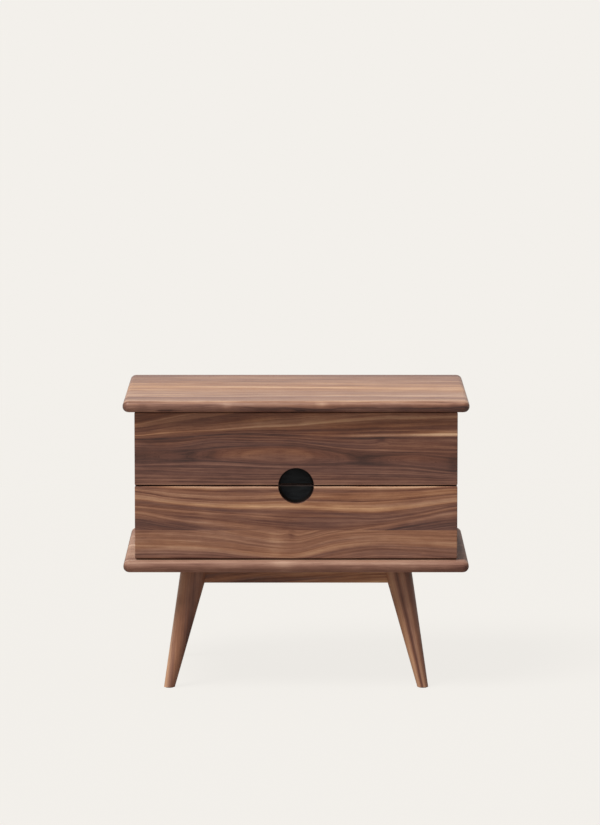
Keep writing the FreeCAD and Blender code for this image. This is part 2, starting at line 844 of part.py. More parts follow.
def make_ball_cages(label, level, race_middle, race_gap, race_offset):
    """The strips of balls above and below the members, on both slides of one drawer."""
    radius = race_gap / 2 - size["ball_clearance"]
    half = size["cage_width"] / 2
    strip = block(f"{label}_strip", (-half, half), (ZERO, size["cage_length"]), size["cage_thickness"])
    ball_depths = [size["cage_length"] * ((index + 0.5) / BALL_COUNT) for index in range(BALL_COUNT)]
    centres = [(ZERO, depth) for depth in ball_depths]
    hole = radius + size["ball_clearance"]
    drill(strip, "ball_holes", "XY_Plane", centres, hole, size["cage_thickness"], flip=True)
    ball = doc.addObject("Part::Sphere", f"{label}_ball")
    ball.setExpression("Radius", radius.formula)
    upright = Rotation()
    start = rail_y + (slide_long - size["cage_length"]) / 2
    places = []
    for hand in SIDES.values():
        x = (inner_half - race_offset) * hand
        for side in (-1, 1):
            z = slide_middle[level] + race_middle * side
            places.append((strip, x, start, z - size["cage_thickness"] / 2, upright))
            places += [(ball, x, start + depth, z, upright) for depth in ball_depths]
    copies(label, places)


def make_cages():
    """Both races of balls for both drawers."""
    rail_face = size["rail_tall"] / 2 - size["rail_wall"]
    mid_top = size["mid_tall"] / 2
    mid_face = mid_top - size["member_wall"]
    inner_top = size["inner_tall"] / 2
    races = (
        ("outer", rail_face, mid_top, size["outer_race_offset"]),
        ("inner", mid_face, inner_top, size["inner_race_offset"]),
    )
    for level in LEVELS:
        for name, far_face, near_face, offset in races:
            middle = (far_face + near_face) / 2
            make_ball_cages(f"{name}_balls_{level}", level, middle, far_face - near_face, offset)


# Drawers

pin_pitch = box_tall / TAIL_COUNT
front_screw_x = box_half - size["front_screw_inset"]


def split_height(level):
    """The middle of the gap between the fronts, from the front's own lower edge."""
    return -size["front_gap"] / 2 if level == "upper" else front_tall + size["front_gap"] / 2


def front_screw_centres(low):
    """Where the box front is screwed to the drawer front, from a height called zero."""
    heights = (low + size["front_screw_drop"], low + box_tall - size["front_screw_drop"])
    return [(front_screw_x * hand, height) for hand in SIDES.values() for height in heights]


def make_drawer_front(level):
    """A drawer front with eased edges and half of the round finger hole, seated behind for the pull."""
    label = f"drawer_front_{level}"
    body = block(label, (-case_half, case_half), (ZERO, size["front_thickness"]), front_tall)

    def is_face_or_corner_edge(edge):
        """True for the four edges of the face and the four that run back from its corners."""
        return is_edge_along(edge, "y") or abs(edge.BoundBox.YMax) < NEAR

    round_edges(body, "eased_edges", size["front_eased_edge"], is_face_or_corner_edge)
    centre = [(ZERO, split_height(level))]
    drill(body, "finger_hole", "XZ_Plane", centre, size["pull_hole_radius"], size["front_thickness"])
    lip = size["pull_lip"]
    seat_deep = size["front_thickness"] - lip
    drill(body, "pull_seat", "XZ_Plane", centre, size["pull_seat_radius"], seat_deep, offset=-lip)
    deep = size["front_screw_length"] - size["box_wall"] + size["dowel_end_gap"]
    behind = -size["front_thickness"]
    pilots = front_screw_centres(size["box_lift"])
    drill(body, "screw_pilots", "XZ_Plane", pilots, frame_hole_radius, deep, offset=behind, flip=True)
    keep(label, body, y=face_y, z=front_floor[level])


def make_pull(level):
    """Half of the round cup behind the finger hole: a wall, a floor and a round between them."""
    label = f"pull_{level}"
    outer = size["pull_seat_radius"] - size["pull_clearance"]
    inner = outer - size["pull_wall"]
    lip = size["pull_lip"]
    back = size["front_thickness"]
    floor = back - size["pull_floor"]
    body = doc.addObject("PartDesign::Body", label)
    profile = new_sketch(body, f"{label}_profile", "XY_Plane")
    outline = [(ZERO, floor), (inner, floor), (inner, lip), (outer, lip), (outer, back), (ZERO, back)]
    draw_outline(profile, outline)
    feature = body.newObject("PartDesign::Revolution", f"{label}_turned")
    feature.Profile = profile
    feature.ReferenceAxis = (profile, ["V_Axis"])
    feature.Angle = FULL_TURN
    doc.recompute()

    def is_floor_corner(edge):
        """True for the circle where the cup's floor meets its wall."""
        box = edge.BoundBox
        return box.YLength < NEAR and abs(box.YMin - floor.number) < NEAR and box.XMax > inner.number - NEAR

    round_edges(body, "inner_round", size["pull_inner_round"], is_floor_corner)
    keep_up = 1 if level == "upper" else -1
    gap = size["front_gap"] / 2 * keep_up
    far = size["pull_seat_radius"] * -keep_up
    half = corners_of((-size["pull_seat_radius"], size["pull_seat_radius"]), (far, gap))
    cut_outlines(body, "split", "XZ_Plane", [half], size["front_thickness"])
    keep(label, body, y=face_y, z=case_middle)


def pin_edges(index, slack):
    """Lower and upper height of a pin where it is narrow and where it is wide."""
    middle = pin_pitch * index
    narrow = size["pin_half_width"] - slack
    wide = narrow + size["pin_flare"]
    low = (middle - narrow, middle - wide) if index > 0 else (ZERO, ZERO)
    high = (middle + narrow, middle + wide) if index < TAIL_COUNT else (box_tall, box_tall)
    return low, high


def make_box_side(hand_name, hand, level):
    """A box side: dovetail tails at both ends, a groove for the bottom and pilots for the slide."""
    label = f"box_side_{level}_{hand_name}"
    wall = size["box_wall"]
    body = block(label, (ZERO, wall * -hand), (ZERO, box_long), box_tall)
    inward = hand < 0
    shoulder = box_long - wall
    sockets = []
    for index in range(TAIL_COUNT + 1):
        (low, low_wide), (high, high_wide) = pin_edges(index, ZERO)
        sockets.append([(ZERO, low), (wall, low_wide), (wall, high_wide), (ZERO, high)])
        sockets.append([(box_long, low), (shoulder, low_wide), (shoulder, high_wide), (box_long, high)])
    cut_outlines(body, "pin_sockets", "YZ_Plane", sockets, wall, flip=inward)
    groove_start = wall - size["groove_depth"]
    groove_top = size["bottom_lift"] + size["bottom_thickness"] + size["joint_clearance"]
    groove = corners_of((groove_start, box_long - groove_start), (size["bottom_lift"], groove_top))
    offset = (wall - size["groove_depth"]) * -hand
    cut_outlines(body, "groove", "YZ_Plane", [groove], size["groove_depth"], offset=offset, flip=inward)
    box_front_to_rail = rail_y - front_back_y
    pilots = [(box_front_to_rail + depth, box_tall / 2) for depth in rail_screw_depths]
    deep = size["slide_screw_length"] - size["member_wall"] / 2
    drill(body, "slide_pilots", "YZ_Plane", pilots, slide_hole_radius, deep, flip=inward)
    keep(label, body, x=box_half * hand, y=front_back_y, z=front_floor[level] + size["box_lift"])


def make_box_end(name, level):
    """The box front or back: pins at both ends and a groove for the bottom."""
    label = f"box_{name}_{level}"
    wall = size["box_wall"]
    body = block(label, (-box_half, box_half), (ZERO, wall), box_tall)
    is_front = name == "front"
    outer = ZERO if is_front else wall
    inner = wall if is_front else ZERO
    tails = []
    for index in range(TAIL_COUNT):
        low, low_wide = pin_edges(index, size["joint_clearance"])[1]
        high, high_wide = pin_edges(index + 1, size["joint_clearance"])[0]
        tails.append([(outer, low), (inner, low_wide), (inner, high_wide), (outer, high)])
    for hand in SIDES.values():
        hand_name = "left" if hand < 0 else "right"
        cut_outlines(
            body, f"tails_{hand_name}", "YZ_Plane", tails, wall, offset=box_half * hand, flip=hand < 0
        )
    groove_top = size["bottom_lift"] + size["bottom_thickness"] + size["joint_clearance"]
    span = box_half - wall
    groove = corners_of((-span, span), (size["bottom_lift"], groove_top))
    inner_face = -wall if is_front else ZERO
    cut_outlines(body, "groove", "XZ_Plane", [groove], size["groove_depth"], offset=inner_face, flip=is_front)
    place_y = front_back_y
    if is_front:
        drill(body, "screw_holes", "XZ_Plane", front_screw_centres(ZERO), frame_hole_radius, wall)
    else:
        place_y = front_back_y + box_long - wall
    keep(label, body, y=place_y, z=front_floor[level] + size["box_lift"])


def make_box_bottom(level):
    """The thin bottom, let into grooves all round."""
    tongue = size["groove_depth"] - size["bottom_edge_gap"]
    half = box_half - size["box_wall"] + tongue
    start = size["box_wall"] - tongue
    end = box_long - start
    body = block(f"box_bottom_{level}", (-half, half), (start, end), size["bottom_thickness"])
    low = front_floor[level] + size["box_lift"] + size["bottom_lift"]
    keep(f"box_bottom_{level}", body, y=front_back_y, z=low)


def make_front_fasteners(level):
    """Screws that hold the front to its box, and the bumpers behind the front."""
    inside_y = front_back_y + size["box_wall"]
    low = front_floor[level] + size["box_lift"]
    forward = turn_from_up((0, -1, 0))
    places = [(front_screw, x, inside_y, z, forward) for x, z in front_screw_centres(low)]
    copies(f"front_screws_{level}", places)
    rearward = turn_from_up((0, 1, 0))
    height = front_floor[level] + front_tall - size["bumper_drop"]
    places = [(bumper, dowel_line * hand, front_back_y, height, rearward) for hand in SIDES.values()]
    copies(f"bumpers_{level}", places)


bumper = turned(
    "bumper",
    [
        (ZERO, ZERO),
        (size["bumper_radius"], ZERO),
        (size["bumper_radius"], size["bumper_thickness"] / 2),
        (size["bumper_radius"] * HEAD_FLAT_SHARE, size["bumper_thickness"]),
        (ZERO, size["bumper_thickness"]),
    ],
)


def make_drawer(level):
    """One whole drawer: front, half pull, dovetailed box, bottom and fasteners."""
    make_drawer_front(level)
    make_pull(level)
    for hand_name, hand in SIDES.items():
        make_box_side(hand_name, hand, level)
    make_box_end("front", level)
    make_box_end("back", level)
    make_box_bottom(level)
    make_front_fasteners(level)


def make_all():
    """Build every piece in the order of assembly."""
    make_slab("top_panel", case_ceiling)
    make_slab("base_panel", size["base_height"])
    for hand_name, hand in SIDES.items():
        make_side_panel(hand_name, hand)
    make_back_panel()
    make_divider()
    make_case_dowels()
    for hand_name, hand in SIDES.items():
        for end_name, end in ENDS.items():
            make_leg(hand_name, hand, end_name, end)
    make_aprons()
    make_corner_blocks()
    make_frame_screws()
    make_glides()
    for level in LEVELS:
        for hand_name, hand in SIDES.items():
            make_slide(hand_name, hand, level)
        make_drawer(level)
    make_slide_screws()
    make_cages()
    doc.recompute()


def check_and_write():
    """Stop on any failed feature or bad shape, then write one STEP file for each piece."""
    for item in doc.Objects:
        if "Invalid" in item.State or "Error" in item.State:
            raise RuntimeError(f"{item.Label} failed: {item.State}")
    for piece in pieces:
        if piece.Shape.isNull() or not piece.Shape.isValid():
            raise RuntimeError(f"{piece.Label} has no valid shape")
    os.makedirs("parts", exist_ok=True)
    for piece in pieces:
        piece.Shape.exportStep(f"parts/{piece.Label}.step")
        print(f"{piece.Label}: {len(piece.Shape.Solids)} solid, {piece.Shape.Volume / MM3_PER_CM3:.1f} cm3")
    print(f"{len(pieces)} pieces written")


make_all()
check_and_write()
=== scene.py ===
"""A two-drawer nightstand in oiled walnut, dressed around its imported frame.

Metres, +X right, +Y back, +Z up, with the origin on the floor under the middle of the top. Sizes of
wood are written in millimetres where a maker would, and turned into metres by MM.
"""

import json
import logging
import math
from dataclasses import dataclass, field
from enum import Enum
from functools import cached_property

import bmesh
import bpy
import numpy as np
from mathutils import Euler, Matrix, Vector

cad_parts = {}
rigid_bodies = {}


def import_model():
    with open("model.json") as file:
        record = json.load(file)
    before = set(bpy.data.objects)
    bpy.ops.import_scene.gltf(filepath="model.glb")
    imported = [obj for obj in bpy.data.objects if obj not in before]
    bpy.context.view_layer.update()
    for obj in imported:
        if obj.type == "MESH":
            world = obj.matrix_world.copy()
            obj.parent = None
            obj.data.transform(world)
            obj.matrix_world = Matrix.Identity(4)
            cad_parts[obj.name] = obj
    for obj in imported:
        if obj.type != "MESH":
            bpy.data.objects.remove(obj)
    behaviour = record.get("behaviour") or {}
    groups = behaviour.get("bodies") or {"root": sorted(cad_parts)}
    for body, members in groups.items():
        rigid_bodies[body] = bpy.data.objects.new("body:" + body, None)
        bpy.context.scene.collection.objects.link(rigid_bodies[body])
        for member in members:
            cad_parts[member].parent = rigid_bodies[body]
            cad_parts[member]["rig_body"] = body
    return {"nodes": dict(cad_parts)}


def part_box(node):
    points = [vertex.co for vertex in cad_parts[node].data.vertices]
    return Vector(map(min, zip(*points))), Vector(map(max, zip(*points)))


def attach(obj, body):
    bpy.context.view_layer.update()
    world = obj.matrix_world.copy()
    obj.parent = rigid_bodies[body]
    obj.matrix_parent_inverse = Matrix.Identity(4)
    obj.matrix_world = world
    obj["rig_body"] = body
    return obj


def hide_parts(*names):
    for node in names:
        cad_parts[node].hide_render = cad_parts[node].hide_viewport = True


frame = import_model()

LOG = logging.getLogger("nightstand")
MM = 0.001
MM_PER_M = 1000.0

# A colour is three numbers from 0 to 255, as a paint chart gives it
Colour = tuple[float, float, float]
# Light is linear red, green and blue, and an alpha
Light = tuple[float, float, float, float]
# Three numbers, one for each axis
Triple = tuple[float, float, float]
# A stop is a place and the tone or hue that is found there
Stop = tuple[float, float]

WHITE_LEVEL = 255.0
# The two sides, as the names of the nodes say them
HANDS = ("left", "right")
# The curve of chart colours has a straight start up to its knee and a power above it
CHART_KNEE = 0.04045
CHART_START = 12.92
CHART_OFFSET = 0.055
CHART_POWER = 2.4


def linear(colour: Colour) -> Light:
    """A chart colour as the light that it stands for.

    Up to the knee the light is the share of white divided by the start's slope. Above it the light is
    the share plus the offset, divided by one plus the offset, to the power.

    Args:
        colour: Red, green and blue from 0 to 255.

    Returns:
        Linear red, green, blue and an alpha of one.
    """
    shares = np.asarray(colour, float) / WHITE_LEVEL
    start = shares / CHART_START
    curve = ((shares + CHART_OFFSET) / (1.0 + CHART_OFFSET)) ** CHART_POWER
    light = np.where(shares <= CHART_KNEE, start, curve)
    return (float(light[0]), float(light[1]), float(light[2]), 1.0)


class Axis(Enum):
    """The way the grain of a board runs, or the marks on drawn steel."""

    X = "x"
    Y = "y"
    Z = "z"


class GrainSource(Enum):
    """Where a walnut finish finds its growth lines."""

    PAINTED = "the board's own grain attribute"
    SOLID = "a trunk that the piece is cut from"


class Level(Enum):
    """Which of the two drawers a piece belongs to, as the names of the nodes say it."""

    UPPER = "upper"
    LOWER = "lower"


class HoleEdge(Enum):
    """Which long edge of a board the finger hole cuts."""

    NONE = "none"
    LOWER = "lower"
    UPPER = "upper"


# Shader wiring


@dataclass(frozen=True)
class Clouds:
    """Cloudy noise, with the millimetres from cloud to cloud along each coordinate.

    The detail is the number of finer octaves and the roughness is their strength. The shift moves to
    another part of the noise, so that no two kinds run alike.
    """

    lengths: Triple
    detail: float = 2.0
    roughness: float = 0.5
    shift: float = 0.0


class Wire:
    """A socket of a node tree that can be added, taken away, multiplied and divided like a number."""

    def __init__(self, tree: bpy.types.NodeTree, socket: bpy.types.NodeSocket) -> None:
        """Hold a socket and the tree that it belongs to."""
        self.tree = tree
        self.socket = socket

    def _sum(self, operation: str, *terms: "Wire | float") -> "Wire":
        """A Math node of this wire and the terms.

        Args:
            operation: What the node does.
            terms: What it takes after this wire.

        Returns:
            The result.
        """
        node = self.tree.nodes.new("ShaderNodeMath")
        node.operation = operation
        self.tree.links.new(self.socket, node.inputs[0])
        for place, term in enumerate(terms, start=1):
            if isinstance(term, Wire):
                self.tree.links.new(term.socket, node.inputs[place])
            else:
                node.inputs[place].default_value = term
        return Wire(self.tree, node.outputs[0])

    def __add__(self, other: "Wire | float") -> "Wire":
        """This plus the other."""
        return self._sum("ADD", other)

    def __sub__(self, other: "Wire | float") -> "Wire":
        """This less the other."""
        return self._sum("SUBTRACT", other)

    def __mul__(self, other: "Wire | float") -> "Wire":
        """This times the other."""
        return self._sum("MULTIPLY", other)

    def __truediv__(self, other: "Wire | float") -> "Wire":
        """This divided by the other."""
        return self._sum("DIVIDE", other)

    def rounded(self) -> "Wire":
        """The nearest whole number."""
        return self._sum("ROUND")

    def size(self) -> "Wire":
        """This without its sign."""
        return self._sum("ABSOLUTE")

    def root(self) -> "Wire":
        """The square root."""
        return self._sum("SQRT")

    def eased(self, low: float, high: float) -> "Wire":
        """A smooth step from nought to one.

        Args:
            low: Where it is still nought.
            high: Where it is one. It may be less than low, and the step then falls.

        Returns:
            The step.
        """
        node = self.tree.nodes.new("ShaderNodeMapRange")
        node.interpolation_type = "SMOOTHSTEP"
        node.inputs["From Min"].default_value = low
        node.inputs["From Max"].default_value = high
        self.tree.links.new(self.socket, node.inputs["Value"])
        return Wire(self.tree, node.outputs["Result"])


class Bench:
    """A material under construction: its node tree and short ways to add to it."""

    # Places of the colour sockets on a Mix node, whose names repeat
    MIX_FIRST = 6
    MIX_SECOND = 7
    MIX_RESULT = 2
    # How a shift moves noise along each coordinate
    SHIFT_WAY = (1.0, 1.7, 0.6)

    def __init__(self, name: str) -> None:
        """Start an empty material.

        Args:
            name: What the material is called.
        """
        self.material = bpy.data.materials.new(name)
        self.material.use_nodes = True
        self.tree = self.material.node_tree
        self.tree.nodes.clear()

    def node(self, kind: str) -> bpy.types.Node:
        """A new node of that kind."""
        return self.tree.nodes.new(kind)

    def link(self, wire: Wire, socket: bpy.types.NodeSocket) -> None:
        """Lead a wire into a socket."""
        self.tree.links.new(wire.socket, socket)

    def object_point(self) -> Wire:
        """The place of the shaded point.

        Returns:
            A vector in millimetres.
        """
        coordinates = self.node("ShaderNodeTexCoord")
        scale = self.node("ShaderNodeVectorMath")
        scale.operation = "SCALE"
        scale.inputs["Scale"].default_value = MM_PER_M
        self.tree.links.new(coordinates.outputs["Object"], scale.inputs[0])
        return Wire(self.tree, scale.outputs["Vector"])

    def object_normal(self) -> Wire:
        """The direction that the surface faces."""
        return Wire(self.tree, self.node("ShaderNodeTexCoord").outputs["Normal"])

    def attribute(self, name: str, output: str) -> Wire:
        """An attribute of the mesh.

        Args:
            name: The attribute.
            output: "Vector" or "Fac", as it was written.

        Returns:
            Its value.
        """
        reader = self.node("ShaderNodeAttribute")
        reader.attribute_name = name
        return Wire(self.tree, reader.outputs[output])

    def turned(self, vector: Wire, turn: Triple, shift: Triple) -> Wire:
        """A vector turned about the three axes and then shifted.

        Args:
            vector: What is turned.
            turn: The angles, in radians.
            shift: What is added after the turn.

        Returns:
            The turned vector.
        """
        mapping = self.node("ShaderNodeMapping")
        mapping.inputs["Rotation"].default_value = turn
        mapping.inputs["Location"].default_value = shift
        self.link(vector, mapping.inputs["Vector"])
        return Wire(self.tree, mapping.outputs["Vector"])

    def split(self, vector: Wire) -> tuple[Wire, Wire, Wire]:
        """The parts of a vector.

        Args:
            vector: A vector or a colour.

        Returns:
            Its three coordinates.
        """
        parts = self.node("ShaderNodeSeparateXYZ")
        self.link(vector, parts.inputs[0])
        return tuple(Wire(self.tree, output) for output in parts.outputs)

    def join(self, *parts: Wire) -> Wire:
        """A vector made of its parts.

        Args:
            parts: Three coordinates.

        Returns:
            The vector.
        """
        whole = self.node("ShaderNodeCombineXYZ")
        for part, socket in zip(parts, whole.inputs):
            self.link(part, socket)
        return Wire(self.tree, whole.outputs[0])

    def noise(self, point: Wire, clouds: Clouds) -> Wire:
        """Cloudy noise.

        Args:
            point: The place, in millimetres.
            clouds: The kind of noise.

        Returns:
            The noise, from 0 to 1.
        """
        mapping = self.node("ShaderNodeMapping")
        mapping.inputs["Scale"].default_value = tuple(1.0 / length for length in clouds.lengths)
        mapping.inputs["Location"].default_value = tuple(clouds.shift * way for way in self.SHIFT_WAY)
        self.link(point, mapping.inputs["Vector"])
        texture = self.node("ShaderNodeTexNoise")
        texture.inputs["Scale"].default_value = 1.0
        texture.inputs["Detail"].default_value = clouds.detail
        texture.inputs["Roughness"].default_value = clouds.roughness
        self.tree.links.new(mapping.outputs["Vector"], texture.inputs["Vector"])
        return Wire(self.tree, texture.outputs["Fac"])

    def swing(self, point: Wire, clouds: Clouds) -> Wire:
        """Cloudy noise about nought, from minus a half to a half."""
        return self.noise(point, clouds) - 0.5

    def chance(self, value: Wire) -> tuple[Wire, Wire, Wire]:
        """Chances that belong to one value and to no other.

        Args:
            value: Any number.

        Returns:
            Three numbers from 0 to 1.
        """
        dice = self.node("ShaderNodeTexWhiteNoise")
        dice.noise_dimensions = "1D"
        self.link(value, dice.inputs["W"])
        return self.split(Wire(self.tree, dice.outputs["Color"]))

    def ramp(self, wire: Wire, stops: list[tuple[float, Light]]) -> Wire:
        """A colour for each value of a wire, blended between stops.

        Args:
            wire: The value, from 0 to 1.
            stops: Places in rising order, each with its colour. There may be 32 at most.

        Returns:
            The colour.
        """
        node = self.node("ShaderNodeValToRGB")
        elements = node.color_ramp.elements
        elements[0].position, elements[0].color = stops[0]
        elements[1].position, elements[1].color = stops[-1]
        for place, colour in stops[1:-1]:
            elements.new(place).color = colour
        self.link(wire, node.inputs["Fac"])
        return Wire(self.tree, node.outputs["Color"])

    def between(self, tone: Wire, span: tuple[float, float], low: Colour, high: Colour) -> Wire:
        """A colour that goes from one to another as the tone crosses a span.

        Args:
            tone: The tone, from 0 to 1.
            span: Where the span begins and ends.
            low: The colour before it.
            high: The colour after it.

        Returns:
            The colour.
        """
        return self.ramp(tone, [(span[0], linear(low)), (span[1], linear(high))])

    def tones(self, wire: Wire, bands: tuple[Stop, ...]) -> Wire:
        """A tone for each place from the first band to the last, blended between them.

        Args:
            wire: The place, in the bands' own units.
            bands: Places in rising order, each with its tone.

        Returns:
            The tone.
        """
        start, length = bands[0][0], bands[-1][0] - bands[0][0]
        grey = [((place - start) / length, (tone, tone, tone, 1.0)) for place, tone in bands]
        return self.ramp((wire - start) * (1.0 / length), grey)

    def blend(self, share: Wire, first: Wire, second: Wire | Light) -> Wire:
        """One colour that gives way to another.

        Args:
            share: Nought for the first colour and one for the second.
            first: The first colour.
            second: The second colour, as a wire or a constant.

        Returns:
            The colour between them.
        """
        mix = self.node("ShaderNodeMix")
        mix.data_type = "RGBA"
        self.link(share, mix.inputs["Factor"])
        self.link(first, mix.inputs[self.MIX_FIRST])
        if isinstance(second, Wire):
            self.link(second, mix.inputs[self.MIX_SECOND])
        else:
            mix.inputs[self.MIX_SECOND].default_value = second
        return Wire(self.tree, mix.outputs[self.MIX_RESULT])

    def shade(self, wire: Wire, share: Wire) -> Wire:
        """A darkened colour: the colour times one less the share.

        Args:
            wire: The colour.
            share: How much of it is lost.

        Returns:
            What is left.
        """
        scale = self.node("ShaderNodeVectorMath")
        scale.operation = "SCALE"
        self.link(wire, scale.inputs[0])
        self.link(share * -1.0 + 1.0, scale.inputs["Scale"])
        return Wire(self.tree, scale.outputs["Vector"])

    def bump(self, height: Wire, depth: float, strength: float) -> Wire:
        """A bumped normal.

        Args:
            height: The relief, from 0 to 1.
            depth: What a height of one stands for, in metres.
            strength: The share of the bump that shows.

        Returns:
            The normal.
        """
        node = self.node("ShaderNodeBump")
        node.inputs["Strength"].default_value = strength
        node.inputs["Distance"].default_value = depth
        self.link(height, node.inputs["Height"])
        return Wire(self.tree, node.outputs["Normal"])

    def finish(self, **sockets: Wire | float | Light) -> bpy.types.Material:
        """Close the material with a Principled shader.

        Args:
            sockets: A wire or a constant for each socket of the shader, with its spaces as underscores.

        Returns:
            The finished material.
        """
        shader = self.node("ShaderNodeBsdfPrincipled")
        output = self.node("ShaderNodeOutputMaterial")
        for name, value in sockets.items():
            socket = shader.inputs[name.replace("_", " ")]
            if isinstance(value, Wire):
                self.link(value, socket)
            else:
                socket.default_value = value
        self.tree.links.new(shader.outputs[0], output.inputs["Surface"])
        return self.material


# Finishes


@dataclass(frozen=True)
class Palette:
    """Colours of a wood from its darkest late growth to its palest streak."""

    cool: tuple[Colour, ...]
    warm: tuple[Colour, ...]


WALNUT = Palette(
    cool=((50, 31, 28), (90, 59, 51), (125, 89, 75), (156, 122, 104), (196, 165, 145)),
    warm=((58, 28, 16), (104, 60, 39), (141, 95, 66), (174, 130, 95), (212, 170, 130)),
)
PALE_WOOD = Palette(
    cool=((150, 124, 96), (182, 156, 126), (203, 180, 150), (216, 196, 168), (228, 212, 188)),
    warm=((156, 126, 94), (188, 160, 124), (210, 184, 148), (222, 200, 166), (232, 214, 186)),
)
# The tones at which a palette's five colours stand
PALETTE_TONES = (0.0, 0.25, 0.5, 0.75, 1.0)

# The figure of wood. The coordinates are along the grain, the growth, and the depth in a painted board
# or the way sideways in a trunk
DRIFT = Clouds((170.0, 18.0, 70.0), 1.0)
RIPPLE = Clouds((42.0, 8.0, 40.0), shift=7.0)
RINGS = Clouds((900.0, 13.0, 400.0), 4.0, 0.62, 3.0)
STREAKS = Clouds((260.0, 3.2, 60.0), 3.0, 0.6, 11.0)
FINE_LINES = Clouds((150.0, 1.15, 30.0), 2.0, 0.6, 31.0)
WIDE_BANDS = Clouds((420.0, 15.0, 200.0), 1.0, shift=41.0)
CONTOURS = Clouds((800.0, 9.0, 200.0), 3.0, 0.6, 53.0)
FIBRES = Clouds((26.0, 0.9, 0.9), shift=5.0)
PATCHES = Clouds((60.0, 20.0, 60.0), 3.0, 0.6, 2.0)
HUES = Clouds((190.0, 9.0, 90.0), shift=19.0)
PORES = Clouds((5.5, 0.36, 0.5), 1.0, shift=23.0)

# How far the drift and the ripple move the growth lines, for a drift of one millimetre
DRIFT_REACH = 2.0
RIPPLE_REACH = 0.7
# How far each part of the figure moves the tone, and the middle tone of wood that has no bands
RING_TONE = 1.9
MIDDLE_TONE = 0.42
STREAK_TONE = 0.5
LINE_TONE = 0.62
FIBRE_TONE = 0.3
PATCH_TONE = 0.34
# The share of the figure that is left where it is calmest, and the half width of a late line's contour
CALMEST = 0.2
CONTOUR_EASE = (0.045, 0.0)
# Where the drift in hue turns warm, and how much of the hue follows a finish's own bands
HUE_EASE = (0.36, 0.64)
BAND_HUE_SHARE = 0.6
# Where noise becomes a pore, how dark and how rough it is, and what streaks add to the roughness
PORE_EASE = (0.60, 0.74)
PORE_SHADE = 0.42
PORE_ROUGHNESS = 0.2
STREAK_ROUGHNESS = 0.12
# The relief of fibres and pores
FIBRE_HEIGHT = 0.5
WOOD_RELIEF = 0.00025
WOOD_RELIEF_STRENGTH = 0.35
# How square to the grain a surface is where it begins and ends to look like end grain
END_EASE = (0.6, 0.95)


@dataclass(frozen=True)
class Trunk:
    """How a piece lies in the log that it was sawn from, in millimetres.

    The growth at a point is its distance from the pith, which runs along the grain at a depth under the
    board that bends slowly, so that flat faces show long arches and the ends show arcs of rings. With
    the pith well to one side the lines on the face run straight. Each stave's pith lies up to the wander
    to either side and its arches up to half the slide along the grain, and the scatter is the most that
    its growth is moved. The taper is the share of its width that a turned piece loses in each
    millimetre, and its lines draw together as much.
    """

    grain: Axis = Axis.X
    turn: Triple = (0.0, 0.0, 0.0)
    shift: Triple = (0.0, 0.0, 0.0)
    stave: float = 100.0
    pith_side: float = 0.0
    pith_depth: float = 34.0
    pith_wander: float = 60.0
    slide: float = 700.0
    bend: float = 0.00014
    scatter: float = 90.0
    taper: float = 0.0
    seed: float = 0.0
    seed_to_stave: float = 0.37
    seed_to_luck: float = 3.1


